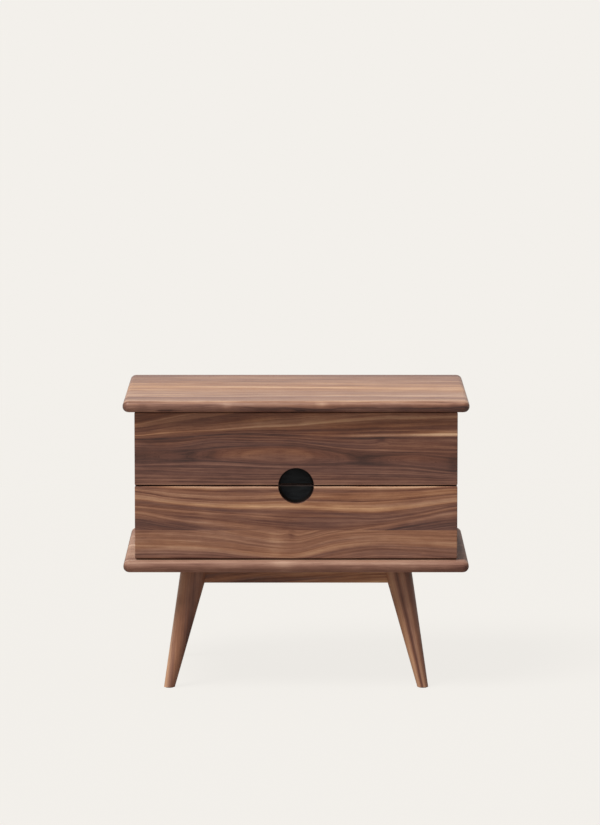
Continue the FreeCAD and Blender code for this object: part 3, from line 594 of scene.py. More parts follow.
@dataclass(frozen=True)
class WoodFinish:
    """Oiled or lacquered wood: growth bands, streaks, fibres and pores.

    The bands, other bands and hues are read at the growth. The tone is added everywhere, the contrast
    multiplies the figure, broad and late add wide bands and dark late lines, and the lean is the tone
    added in each metre along the grain. The calm range is the growth over which the figure sets in.
    """

    name: str
    palette: Palette = WALNUT
    source: GrainSource = GrainSource.SOLID
    trunk: Trunk = field(default_factory=Trunk)
    bands: tuple[Stop, ...] = ()
    other_bands: tuple[Stop, ...] = ()
    hues: tuple[Stop, ...] = ()
    tone: float = 0.0
    contrast: float = 1.0
    broad: float = 0.0
    late: float = 0.0
    drift: float = 2.4
    warmth: float = 0.0
    lean: float = 0.0
    calm: tuple[float, float] = (0.0, 0.0)
    other_cool: float = 0.0
    stave_spread: float = 0.16
    roughness: float = 0.47
    sheen: float = 0.35
    pore: float = 0.5
    end_grain: float = 0.25

    def _turn(self) -> Triple:
        """How the log is turned to lay its grain along the first coordinate.

        Returns:
            The angles about the three axes, in radians.
        """
        quarter = math.pi / 2
        turns = {Axis.X: (0.0, 0.0, 0.0), Axis.Y: (0.0, 0.0, -quarter), Axis.Z: (0.0, quarter, 0.0)}
        return turns[self.trunk.grain]

    def _solid_point(self, bench: Bench) -> tuple[Wire, Wire]:
        """Where the shaded point lies in its log.

        The board is a row of staves, each from another place of the log. Within a stave the growth is the
        root of the square of the way sideways from the pith plus the square of the way below it, and a
        scatter of the stave's own.

        Args:
            bench: The material under construction.

        Returns:
            Along the grain, the growth and the way sideways, and then the stave's own chance of a tone.
        """
        trunk = self.trunk
        point = bench.turned(bench.object_point(), trunk.turn, trunk.shift)
        point = bench.turned(point, self._turn(), (0.0, 0.0, 0.0))
        along, across, deep = bench.split(point)
        offset = trunk.seed * trunk.seed_to_stave
        number = (across * (1.0 / trunk.stave) + offset).rounded()
        inside = across - (number - offset) * trunk.stave
        if trunk.taper:
            inside = inside / (along * trunk.taper + 1.0)
        luck = bench.chance(number + trunk.seed * trunk.seed_to_luck)
        sideways = inside + (luck[0] - 0.5) * trunk.pith_wander * 2.0 + trunk.pith_side
        shifted = along + (luck[1] - 0.5) * trunk.slide
        below = deep + trunk.pith_depth + shifted * shifted * trunk.bend
        growth = (sideways * sideways + below * below).root() + luck[2] * trunk.scatter
        return bench.join(along, growth, sideways), luck[1]

    def _end_share(self, bench: Bench) -> Wire:
        """How far the surface is end grain.

        Args:
            bench: The material under construction.

        Returns:
            One where the surface is cut across the grain and nought along it.
        """
        normal = bench.turned(bench.object_normal(), self.trunk.turn, (0.0, 0.0, 0.0))
        normal = bench.turned(normal, self._turn(), (0.0, 0.0, 0.0))
        return bench.split(normal)[0].size().eased(*END_EASE)

    def _ground(self, bench: Bench, line: Wire, growth: Wire, other: Wire | None) -> Wire:
        """The tone under the finer figure.

        Args:
            bench: The material under construction.
            line: The place in the wood.
            growth: The growth there.
            other: The share of the other bands, if the finish has them.

        Returns:
            The finish's bands, with the accents of a painted board, or rings where it has no bands.
        """
        if not self.bands:
            return bench.swing(line, RINGS) * RING_TONE * self.contrast + MIDDLE_TONE
        tone = bench.tones(growth, self.bands)
        if other is not None:
            tone = bench.blend(other, tone, bench.tones(growth, self.other_bands))
        if self.source is GrainSource.PAINTED:
            tone = tone + bench.attribute("accent", "Fac")
        return tone

    def _figure(self, bench: Bench, line: Wire, growth: Wire, streaks: Wire) -> Wire:
        """Streaks, finer lines and wide bands, less the dark contours of late growth.

        Args:
            bench: The material under construction.
            line: The place in the wood.
            growth: The growth there.
            streaks: The streaks, about nought.

        Returns:
            What the figure adds to the tone at a contrast of one.
        """
        lines = bench.swing(line, FINE_LINES)
        wide = bench.swing(line, WIDE_BANDS)
        figure = streaks * STREAK_TONE + lines * LINE_TONE + wide * self.broad
        if self.calm[1]:
            figure = figure * (growth.eased(*self.calm) * (1.0 - CALMEST) + CALMEST)
        if self.late:
            figure = figure - bench.swing(line, CONTOURS).size().eased(*CONTOUR_EASE) * self.late
        return figure

    def _colour(self, bench: Bench, line: Wire, growth: Wire, tone: Wire, other: Wire | None) -> Wire:
        """The colour of the wood at a tone.

        Args:
            bench: The material under construction.
            line: The place in the wood.
            growth: The growth there.
            tone: The tone, from 0 to 1.
            other: The share of the other bands, where the hue is cooler.

        Returns:
            The cool and the warm palette at that tone, blended by the hue.
        """
        cool = bench.ramp(tone, [(place, linear(c)) for place, c in zip(PALETTE_TONES, self.palette.cool)])
        warm = bench.ramp(tone, [(place, linear(c)) for place, c in zip(PALETTE_TONES, self.palette.warm)])
        hue = (bench.noise(line, HUES) + self.warmth).eased(*HUE_EASE)
        if self.hues:
            hue = hue * (1.0 - BAND_HUE_SHARE) + bench.tones(growth, self.hues) * BAND_HUE_SHARE
        if other is not None:
            hue = hue * (other * -self.other_cool + 1.0)
        return bench.blend(hue, cool, warm)

    def material(self) -> bpy.types.Material:
        """Build the finish.

        The tone is the ground plus the figure, fibres and patches stretched along the grain. The colour is
        the palette's at that tone, darkened in the pores and on end grain.

        Returns:
            The material.
        """
        bench = Bench(self.name)
        painted = self.source is GrainSource.PAINTED
        if painted:
            point, stave_tone = bench.attribute("grain", "Vector"), None
        else:
            point, stave_tone = self._solid_point(bench)
        along, growth, deep = bench.split(point)
        drift = bench.swing(point, DRIFT)
        ripple = bench.swing(point, RIPPLE)
        growth = growth + drift * self.drift * DRIFT_REACH + ripple * self.drift * RIPPLE_REACH
        line = bench.join(along, growth, deep)
        other = bench.attribute("branch", "Fac") if self.other_bands else None

        streaks = bench.swing(line, STREAKS)
        fibres = bench.swing(bench.object_point() if painted else line, FIBRES)
        patches = bench.swing(line, PATCHES)
        tone = self._ground(bench, line, growth, other)
        tone = tone + self._figure(bench, line, growth, streaks) * self.contrast
        tone = tone + fibres * FIBRE_TONE + patches * PATCH_TONE
        tone = tone + along * (self.lean * MM) + self.tone
        if stave_tone is not None:
            tone = tone + (stave_tone - 0.5) * self.stave_spread

        pores = bench.noise(line, PORES).eased(*PORE_EASE)
        colour = self._colour(bench, line, growth, tone, other)
        colour = bench.shade(colour, pores * (PORE_SHADE * self.pore))
        colour = bench.shade(colour, self._end_share(bench) * self.end_grain)
        relief = fibres * FIBRE_HEIGHT - pores * self.pore
        return bench.finish(
            Base_Color=colour,
            Roughness=pores * PORE_ROUGHNESS + streaks * STREAK_ROUGHNESS + self.roughness,
            Specular_IOR_Level=self.sheen,
            Normal=bench.bump(relief, WOOD_RELIEF, WOOD_RELIEF_STRENGTH),
        )


@dataclass(frozen=True)
class StainedFinish:
    """Black stained, closely turned hardwood with a trace of its grain, in millimetres.

    Painted shade darkens the turned corner between two radii, where the cup's wall meets its floor, and
    the wood beside the split, and a painted highlight makes the arris under the split paler. The tone is
    the fibres and the patches, each by its share, less the dark share, and a span of it goes from the
    first to the second of two colours.
    """

    name: str
    base: Colour = (17, 18, 20)
    raised: Colour = (44, 47, 50)
    # Painted shade: the dark colour laid in the cup's turned corner and beside the split
    corner: Colour = (10, 3, 0)
    shade_radii: tuple[float, float] = (25.5, 29.0)
    # Painted highlight: the paler colour laid on the arris under the split
    painted_highlight: Colour = (92, 76, 72)
    split: float = 360.0
    half_gap: float = 1.0
    shade_beside: tuple[float, float] = (1.3, 0.6)
    arris_below: float = 1.5
    arris_half: tuple[float, float] = (1.2, 0.4)
    fibres: Clouds = Clouds((18.0, 6.0, 0.7), 3.0, 0.6)
    patches: Clouds = Clouds((22.0, 9.0, 7.0), shift=4.0)
    fibre_share: float = 0.6
    patch_share: float = 0.8
    dark_share: float = 0.2
    span: tuple[float, float] = (0.25, 0.85)
    highlight_span: tuple[float, float] = (0.1, 0.8)
    roughness: float = 0.6
    fibre_roughness: float = 0.2
    sheen: float = 0.1
    relief: float = 0.0002
    relief_strength: float = 0.4

    def material(self) -> bpy.types.Material:
        """Build the finish.

        Returns:
            The material: faint paler fibres, with the painted shade and the painted arris highlight over
                them.
        """
        bench = Bench(self.name)
        point = bench.object_point()
        fibres = bench.noise(point, self.fibres)
        patches = bench.noise(point, self.patches)
        tone = fibres * self.fibre_share + patches * self.patch_share - self.dark_share
        colour = bench.between(tone, self.span, self.base, self.raised)
        x, _, z = bench.split(point)
        up = z - self.split
        radius = (x * x + up * up).root()
        # Painted shade in the turned corner where the cup's wall meets its floor
        colour = bench.blend(radius.eased(*self.shade_radii), colour, linear(self.corner))
        # Painted shade in the gap beside the split between the two halves
        split_shade = up.size().eased(*(self.half_gap + reach for reach in self.shade_beside))
        colour = bench.blend(split_shade, colour, linear(self.corner))
        # Painted highlight on the lit arris under the split
        arris_highlight = (up + (self.half_gap + self.arris_below)).size().eased(*self.arris_half)
        painted_highlight = bench.between(tone, self.highlight_span, self.raised, self.painted_highlight)
        return bench.finish(
            Base_Color=bench.blend(arris_highlight, colour, painted_highlight),
            Roughness=fibres * self.fibre_roughness + self.roughness,
            Specular_IOR_Level=self.sheen,
            Normal=bench.bump(fibres, self.relief, self.relief_strength),
        )


@dataclass(frozen=True)
class MetalFinish:
    """Zinc-plated steel with drawing marks that run one way, in millimetres, and a spangle.

    The tone is the marks and the spangle, each by its share, less the dark share.
    """

    name: str
    base: Colour = (160, 162, 164)
    shadow: Colour = (118, 120, 124)
    roughness: float = 0.24
    brushed: Axis = Axis.Y
    mark_length: float = 90.0
    mark_width: float = 0.5
    mark_share: float = 0.5
    spangle: Clouds = Clouds((5.0, 7.0, 5.0), shift=8.0)
    spangle_share: float = 0.6
    dark_share: float = 0.05
    span: tuple[float, float] = (0.25, 0.8)
    spangle_roughness: float = 0.25
    relief: float = 0.00006
    relief_strength: float = 0.3

    def material(self) -> bpy.types.Material:
        """Build the finish.

        Returns:
            The material: drawing marks and spangle in the colour, and a little wear in the gloss.
        """
        bench = Bench(self.name)
        point = bench.object_point()
        lengths = tuple(self.mark_length if axis is self.brushed else self.mark_width for axis in Axis)
        marks = bench.noise(point, Clouds(lengths, 3.0, 0.6))
        spangle = bench.noise(point, self.spangle)
        tone = marks * self.mark_share + spangle * self.spangle_share - self.dark_share
        return bench.finish(
            Base_Color=bench.between(tone, self.span, self.shadow, self.base),
            Metallic=1.0,
            Roughness=spangle * self.spangle_roughness + self.roughness,
            Normal=bench.bump(marks, self.relief, self.relief_strength),
        )


@dataclass(frozen=True)
class MouldedFinish:
    """Nylon or rubber with a fine moulded grain, in millimetres.

    The tone is the mottle and the pebbled skin, each by its share.
    """

    name: str
    base: Colour
    raised: Colour
    roughness: float
    mottle: float = 4.0
    mottle_share: float = 0.6
    pebble: float = 0.8
    pebble_share: float = 0.4
    span: tuple[float, float] = (0.3, 0.7)
    pebble_roughness: float = 0.2
    sheen: float = 0.4
    relief: float = 0.00008
    relief_strength: float = 0.4

    def material(self) -> bpy.types.Material:
        """Build the finish.

        Returns:
            The material: a mottled ground and a fine pebbled skin.
        """
        bench = Bench(self.name)
        point = bench.object_point()
        mottle = bench.noise(point, Clouds((self.mottle,) * 3, 3.0))
        pebble = bench.noise(point, Clouds((self.pebble,) * 3, 1.0, shift=6.0))
        tone = mottle * self.mottle_share + pebble * self.pebble_share
        return bench.finish(
            Base_Color=bench.between(tone, self.span, self.base, self.raised),
            Roughness=pebble * self.pebble_roughness + self.roughness,
            Specular_IOR_Level=self.sheen,
            Normal=bench.bump(pebble, self.relief, self.relief_strength),
        )


def dress(node: str, material: bpy.types.Material) -> None:
    """Give a kept piece its finish.

    Args:
        node: The piece's name in the frame.
        material: The finish for every slot of its object.
    """
    piece = frame["nodes"][node]
    for slot in piece.material_slots:
        slot.link = "OBJECT"
        slot.material = material
    LOG.info("%s keeps its form and takes %s", node, material.name)


# Growth lines drawn on a board's face


@dataclass(frozen=True)
class GrowthLine:
    """One growth line across a face.

    The heights are in millimetres, at even stations from left to right, and the growth is the line's own
    at the same stations.
    """

    heights: tuple[float, ...]
    growth: tuple[float, ...]


@dataclass(frozen=True)
class Swirl:
    """A knot or curl that lifts the growth around one place, in millimetres."""

    along: float
    height: float
    half_length: float
    half_height: float
    lift: float


@dataclass(frozen=True)
class Accent:
    """A paler or darker stretch of one growth line, in millimetres, with the tone that it adds."""

    along: float
    height: float
    half_length: float
    half_height: float
    tone: float


@dataclass(frozen=True)
class GrowthMap:
    """The growth over one stave of a face, worked out from a few drawn lines, in millimetres.

    Between two lines the growth rises evenly: it is the first line's growth plus, for each pair of
    lines, their difference times the share of the way from one to the next, held from 0 to 1. The
    lines themselves are smooth curves through their stations. The whole map is then softened. The core
    is the number of the line below which the finish's other bands are read. Two lines count as the least
    gap apart where they meet. An accent follows the slope of the growth, which is read from its height
    to the probe over it and is never under the least slope.
    """

    half_length: float
    lines: tuple[GrowthLine, ...]
    swirls: tuple[Swirl, ...] = ()
    accents: tuple[Accent, ...] = ()
    core: int = -1
    core_ease: float = 14.0
    soften: int = 6
    low: float = -20.0
    high: float = 150.0
    step_along: float = 4.0
    step_up: float = 1.0
    least_gap: float = 0.5
    last_span: float = 1.001
    probe: float = 2.0
    least_slope: float = 0.2
    accent_fade: tuple[float, float] = (3.0, 12.0)

    def _smooth(self, values: np.ndarray, where: np.ndarray) -> np.ndarray:
        """A smooth curve through even stations along the board.

        Each span is the cubic that passes through its two stations, and there runs the way that the line
        between the stations on either side runs.

        Args:
            values: What is found at each station.
            where: Places along the board.

        Returns:
            The value at each place.
        """
        last = len(values) - 1
        place = np.clip((where + self.half_length) / (2 * self.half_length), 0, 1) * last
        left = np.minimum(place.astype(int), last - 1)
        way = place - left
        before = values[np.maximum(left - 1, 0)]
        start = values[left]
        end = values[left + 1]
        after = values[np.minimum(left + 2, last)]
        square = 2 * before - 5 * start + 4 * end - after
        cube = 3 * start - before - 3 * end + after
        return 0.5 * (2 * start + (end - before) * way + square * way**2 + cube * way**3)

    def _axes(self) -> tuple[np.ndarray, np.ndarray]:
        """The stations of the lattice along the board and up it."""
        along = np.arange(-self.half_length, self.half_length + self.step_along, self.step_along)
        return along, np.arange(self.low, self.high + self.step_up, self.step_up)

    @cached_property
    def lattice(self) -> np.ndarray:
        """The growth at every station of a lattice over the face.

        A swirl adds its lift times e to the power of minus the squares of its offsets, each over its
        half size. Softening gives half of each station's growth to the four stations beside it.

        Returns:
            The growth, along by up.
        """
        along, up = self._axes()
        curves = [self._smooth(np.array(line.heights), along)[:, None] for line in self.lines]
        grown = [self._smooth(np.array(line.growth), along)[:, None] for line in self.lines]
        total = np.repeat(grown[0], len(up), axis=1)
        for lower, upper, before, after in zip(curves, curves[1:], grown, grown[1:]):
            share = np.clip((up[None, :] - lower) / np.maximum(upper - lower, self.least_gap), 0, 1)
            total = total + (after - before) * share
        for swirl in self.swirls:
            ring = ((along[:, None] - swirl.along) / swirl.half_length) ** 2
            ring = ring + ((up[None, :] - swirl.height) / swirl.half_height) ** 2
            total = total + swirl.lift * np.exp(-ring)
        for _ in range(self.soften):
            wide = np.pad(total, 1, mode="edge")
            total = (wide[:-2, 1:-1] + wide[2:, 1:-1] + wide[1:-1, :-2] + wide[1:-1, 2:] + 4 * total) / 8
        return total

    def growth_at(self, along: np.ndarray, up: np.ndarray) -> np.ndarray:
        """The growth at each point, blended between the four lattice stations around it.

        Args:
            along: Places along the board.
            up: Heights over its lower edge.

        Returns:
            The growth.
        """
        total = self.lattice
        a = np.clip((along + self.half_length) / self.step_along, 0, total.shape[0] - self.last_span)
        b = np.clip((up - self.low) / self.step_up, 0, total.shape[1] - self.last_span)
        i, j = a.astype(int), b.astype(int)
        s, t = a - i, b - j
        near = total[i, j] * (1 - t) + total[i, j + 1] * t
        far = total[i + 1, j] * (1 - t) + total[i + 1, j + 1] * t
        return near * (1 - s) + far * s

    def accents_at(self, along: np.ndarray, up: np.ndarray) -> np.ndarray:
        """The tone that the accents add.

        Each accent is its tone times e to the power of minus three squares: how far the growth is from
        the accent's own, how far the point is along the board, and how far it is up it.

        Args:
            along: Places along the board.
            up: Heights over its lower edge.

        Returns:
            The tone added at each point.
        """
        growth = self.growth_at(along, up)
        total = np.zeros_like(up)
        times, plus = self.accent_fade
        for accent in self.accents:
            places = np.array([accent.height, accent.height + self.probe])
            own, above = self.growth_at(np.full(2, accent.along), places)
            slope = max(abs(above - own) / self.probe, self.least_slope)
            off = ((growth - own) / (slope * accent.half_height)) ** 2
            reach = ((along - accent.along) / accent.half_length) ** 2
            far = ((up - accent.height) / (times * accent.half_height + plus)) ** 2
            total = total + accent.tone * np.exp(-off - reach - far)
        return total

    def below_core(self, along: np.ndarray, up: np.ndarray) -> np.ndarray:
        """How far each point is under the core line.

        Args:
            along: Places along the board.
            up: Heights over its lower edge.

        Returns:
            One well below the line, nought well above it, and a smooth step between them.
        """
        if self.core < 0:
            return np.zeros_like(up)
        middle = self._smooth(np.array(self.lines[self.core].heights), along)
        share = np.clip((middle - up) / self.core_ease + 0.5, 0, 1)
        return share * share * (3 - 2 * share)


# Plates: boards with eased or rounded edges

# Vertices of a plate that are this close are one, in metres, and edges that turn by more stay sharp
MERGE_GAP = 1e-7
SHARP_DEGREES = 35.0


@dataclass(frozen=True)
class Layer:
    """One level through a plate, in millimetres.

    The level is how deep it lies, the inset is how far its rim is drawn in, and the hole is the finger
    hole's radius there.
    """

    level: float
    inset: float = 0.0
    hole: float = 0.0


@dataclass
class Plate:
    """A board as a grid on each face joined by layers of rim, in millimetres.

    A column is a station along the board. Its rows run from the lower edge to the upper edge, which a
    quarter circle draws in at the corners and a round hole pushes in where it cuts the edge: there the
    edge is the hole's centre height plus or minus the root of the radius squared less the station
    squared. Each layer repeats the rim with its own inset and hole. A break is a height that has a row
    of its own, and the hole's gap is how far its centre lies outside the edge.
    """

    half_length: float
    low: float
    high: float
    corner: float
    layers: list[Layer]
    stations: np.ndarray
    rows: tuple[int, ...]
    breaks: tuple[float, ...] = ()
    hole_edge: HoleEdge = HoleEdge.NONE
    hole_gap: float = 0.0
    corner_steps: int = 5
    hole_steps: int = 36

    def _columns(self, layer: Layer) -> tuple[np.ndarray, np.ndarray, np.ndarray]:
        """The columns of a layer.

        Towards an end they are the corner's radius times the sine of even turns, and its cosine draws the
        edges in. At the hole they are its radius times the sine of even angles.

        Args:
            layer: The level through the plate.

        Returns:
            The stations, and the lower and the upper edge at each.
        """
        radius = self.corner - layer.inset
        turn = np.linspace(math.pi / 2, 0, self.corner_steps + 1)[:-1]
        end = self.half_length - self.corner + radius * np.sin(turn)
        drawn = self.corner - radius * np.cos(turn)
        middle = self.stations
        if self.hole_edge is not HoleEdge.NONE:
            reach = math.acos((self.hole_gap + layer.inset) / layer.hole)
            angles = np.linspace(-reach, reach, self.hole_steps + 1)
            middle = np.concatenate([middle[middle < 0], layer.hole * np.sin(angles), middle[middle > 0]])
        columns = np.concatenate([-end, middle, end[::-1]])
        inset = np.concatenate([drawn, np.full(len(middle), layer.inset), drawn[::-1]])
        low = self.low + inset
        high = self.high - inset
        arc = np.sqrt(np.maximum(layer.hole**2 - columns**2, 0))
        if self.hole_edge is HoleEdge.LOWER:
            low = np.maximum(low, self.low - self.hole_gap + arc)
        elif self.hole_edge is HoleEdge.UPPER:
            high = np.minimum(high, self.high + self.hole_gap - arc)
        return columns, low, high

    def _grid(self, layer: Layer) -> np.ndarray:
        """The points of a layer.

        Each column is cut into rows of even height between its edges and breaks.

        Args:
            layer: The level through the plate.

        Returns:
            Columns by rows by station, height and level.
        """
        columns, low, high = self._columns(layer)
        edges = [low, *[np.full_like(low, value) for value in self.breaks], high]
        strips = []
        for lower, upper, count in zip(edges, edges[1:], self.rows):
            share = np.linspace(0, 1, count + 1)[None, :-1]
            strips.append(lower[:, None] + (upper - lower)[:, None] * share)
        heights = np.concatenate([*strips, high[:, None]], axis=1)
        station = np.repeat(columns[:, None], heights.shape[1], axis=1)
        return np.stack([station, heights, np.full_like(heights, layer.level)], axis=-1)

    @staticmethod
    def _rim(columns: int, rows: int) -> np.ndarray:
        """The indices of a grid's rim, once round."""
        index = np.arange(columns * rows).reshape(columns, rows)
        return np.concatenate([index[:-1, 0], index[-1, :-1], index[:0:-1, -1], index[0, :0:-1]])

    def surface(self) -> tuple[np.ndarray, np.ndarray]:
        """The closed surface: both face grids, and a band of faces from each layer's rim to the next.

        Returns:
            Points as station, height and level, and faces of four corners.
        """
        first, last = self._grid(self.layers[0]), self._grid(self.layers[-1])
        columns, rows = first.shape[:2]
        rim = self._rim(columns, rows)
        index = np.arange(columns * rows).reshape(columns, rows)
        corners = (index[:-1, :-1], index[1:, :-1], index[1:, 1:], index[:-1, 1:])
        face = np.stack(corners, axis=-1).reshape(-1, 4)
        points = [first.reshape(-1, 3)]
        loops = [rim]
        for layer in self.layers[1:-1]:
            loops.append(np.arange(len(rim)) + sum(len(part) for part in points))
            points.append(self._grid(layer).reshape(-1, 3)[rim])
        start = sum(len(part) for part in points)
        points.append(last.reshape(-1, 3))
        loops.append(rim + start)
        faces = [face, face[:, ::-1] + start]
        for near, far in zip(loops, loops[1:]):
            faces.append(np.stack([near, far, np.roll(far, -1), np.roll(near, -1)], axis=-1))
        return np.concatenate(points), np.concatenate(faces)


def rounded_layers(low: float, high: float, radius: float, steps: int) -> list[Layer]:
    """Layers from one face to the other whose edges are quarter rounds.

    Args:
        low: Level of the first face.
        high: Level of the second face.
        radius: Radius of both edges.
        steps: Facets in each quarter.

    Returns:
        The layers. The inset is the radius less the radius times the sine of the turn, and the depth is
        the radius less the radius times its cosine.
    """
    turns = np.linspace(0, math.pi / 2, steps + 1)
    rims = [(radius - radius * math.cos(turn), radius - radius * math.sin(turn)) for turn in turns]
    near = [Layer(low + depth, inset) for depth, inset in rims]
    return near + [Layer(high - depth, inset) for depth, inset in rims[::-1]]


def make_piece(name: str, points: np.ndarray, faces: np.ndarray) -> bpy.types.Object:
    """A shaded object at the origin from points in metres.

    Args:
        name: The piece's name.
        points: One row for each vertex.
        faces: One row of vertex numbers for each face.

    Returns:
        The object, its faces turned outwards.
    """
    mesh = bpy.data.meshes.new(name)
    mesh.from_pydata(points.tolist(), [], faces.tolist())
    shell = bmesh.new()
    shell.from_mesh(mesh)
    bmesh.ops.remove_doubles(shell, verts=shell.verts, dist=MERGE_GAP)
    bmesh.ops.recalc_face_normals(shell, faces=shell.faces)
    shell.to_mesh(mesh)
    shell.free()
    mesh.polygons.foreach_set("use_smooth", np.ones(len(mesh.polygons), bool))
    mesh.set_sharp_from_angle(angle=math.radians(SHARP_DEGREES))
    piece = bpy.data.objects.new(name, mesh)
    bpy.context.scene.collection.objects.link(piece)
    weighted = piece.modifiers.new("even_shading", "WEIGHTED_NORMAL")
    weighted.keep_sharp = True
    return piece


def face_corners(mesh: bpy.types.Mesh) -> np.ndarray:
    """The place of every face corner of a mesh.

    Args:
        mesh: A mesh in metres.

    Returns:
        One row for each corner, in millimetres.
    """
    vertex = np.empty(len(mesh.loops), int)
    mesh.loops.foreach_get("vertex_index", vertex)
    spots = np.empty(len(mesh.vertices) * 3)
    mesh.vertices.foreach_get("co", spots)
    return spots.reshape(-1, 3)[vertex] * MM_PER_M


def paint(mesh: bpy.types.Mesh, grain: np.ndarray, accent: np.ndarray, branch: np.ndarray) -> None:
    """Write what a painted wood finish reads at every face corner.

    Args:
        mesh: The board's mesh.
        grain: Along the board, the growth and the depth, in millimetres.
        accent: The tone added, by grain accents and by painted light and shade.
        branch: The share of the finish's other bands.
    """
    mesh.attributes.new("grain", "FLOAT_VECTOR", "CORNER").data.foreach_set("vector", grain.ravel())
    mesh.attributes.new("accent", "FLOAT", "CORNER").data.foreach_set("value", accent)
    mesh.attributes.new("branch", "FLOAT", "CORNER").data.foreach_set("value", branch)


def seat(piece: bpy.types.Object, node: str, material: bpy.types.Material) -> None:
    """Let a piece stand for a node: it rides on the node's body and takes its slot and finish.

    Args:
        piece: The piece.
        node: The node's name in the frame.
        material: The finish.
    """
    piece.data.materials.append(material)
    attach(piece, frame["nodes"][node]["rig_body"])
    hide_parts(node)
    LOG.info("%s stands for %s with %d faces", piece.name, node, len(piece.data.polygons))


# Top panel and base panel


@dataclass
class Panel:
    """A solid panel of glued staves with rounded corners in plan and a bullnose all round, in millimetres.

    Its growth lines sway at one distance from the front edge, by a share of the place along the panel,
    and its accents slope by a share of it.
    """

    node: str
    finish: WoodFinish
    accents: tuple[Accent, ...] = ()
    sway: float = 0.0
    sway_middle: float = 200.0
    sway_half: float = 80.0
    accent_slope: float = 0.02
    depth_growth: float = 0.8
    plan_corner: float = 12.0
    edge_radius: float = 9.5
    edge_steps: int = 12
    columns: int = 39
    rows: int = 90

    def _paint(self, piece: bpy.types.Object, front: float, top: float) -> None:
        """Write the grain at each face corner.

        The growth is the way back from the front edge less a share of the depth, plus the sway times the
        place along the panel, which fades as e to the power of minus a square. Accents fade the same way.

        Args:
            piece: The panel.
            front: Where its front edge is.
            top: Its upper level.
        """
        spots = face_corners(piece.data)
        along = spots[:, 0]
        deep = top - spots[:, 2]
        growth = spots[:, 1] - front - self.depth_growth * deep
        growth += self.sway * along * np.exp(-(((growth - self.sway_middle) / self.sway_half) ** 2))
        accent = np.zeros(len(spots))
        for spot in self.accents:
            reach = ((along - spot.along) / spot.half_length) ** 2
            off = growth - spot.height - self.accent_slope * (along - spot.along)
            accent += spot.tone * np.exp(-reach - (off / spot.half_height) ** 2)
        paint(piece.data, np.stack([along, growth, deep], axis=-1), accent, np.zeros(len(spots)))

    def build(self) -> bpy.types.Object:
        """Build the panel in its node's box and dress it.

        Returns:
            The panel.
        """
        low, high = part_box(self.node)
        half_x, half_y = high.x * MM_PER_M, high.y * MM_PER_M
        bottom, top = low.z * MM_PER_M, high.z * MM_PER_M
        flat = half_y - self.plan_corner
        plate = Plate(
            half_length=half_y,
            low=-half_x,
            high=half_x,
            corner=self.plan_corner,
            layers=rounded_layers(bottom, top, self.edge_radius, self.edge_steps),
            stations=np.linspace(-flat, flat, self.columns),
            rows=(self.rows,),
        )
        points, faces = plate.surface()
        piece = make_piece(f"{self.node}_board", points[:, [1, 0, 2]] * MM, faces)
        self._paint(piece, low.y * MM_PER_M, top)
        seat(piece, self.node, self.finish.material())
        return piece


# Drawer fronts


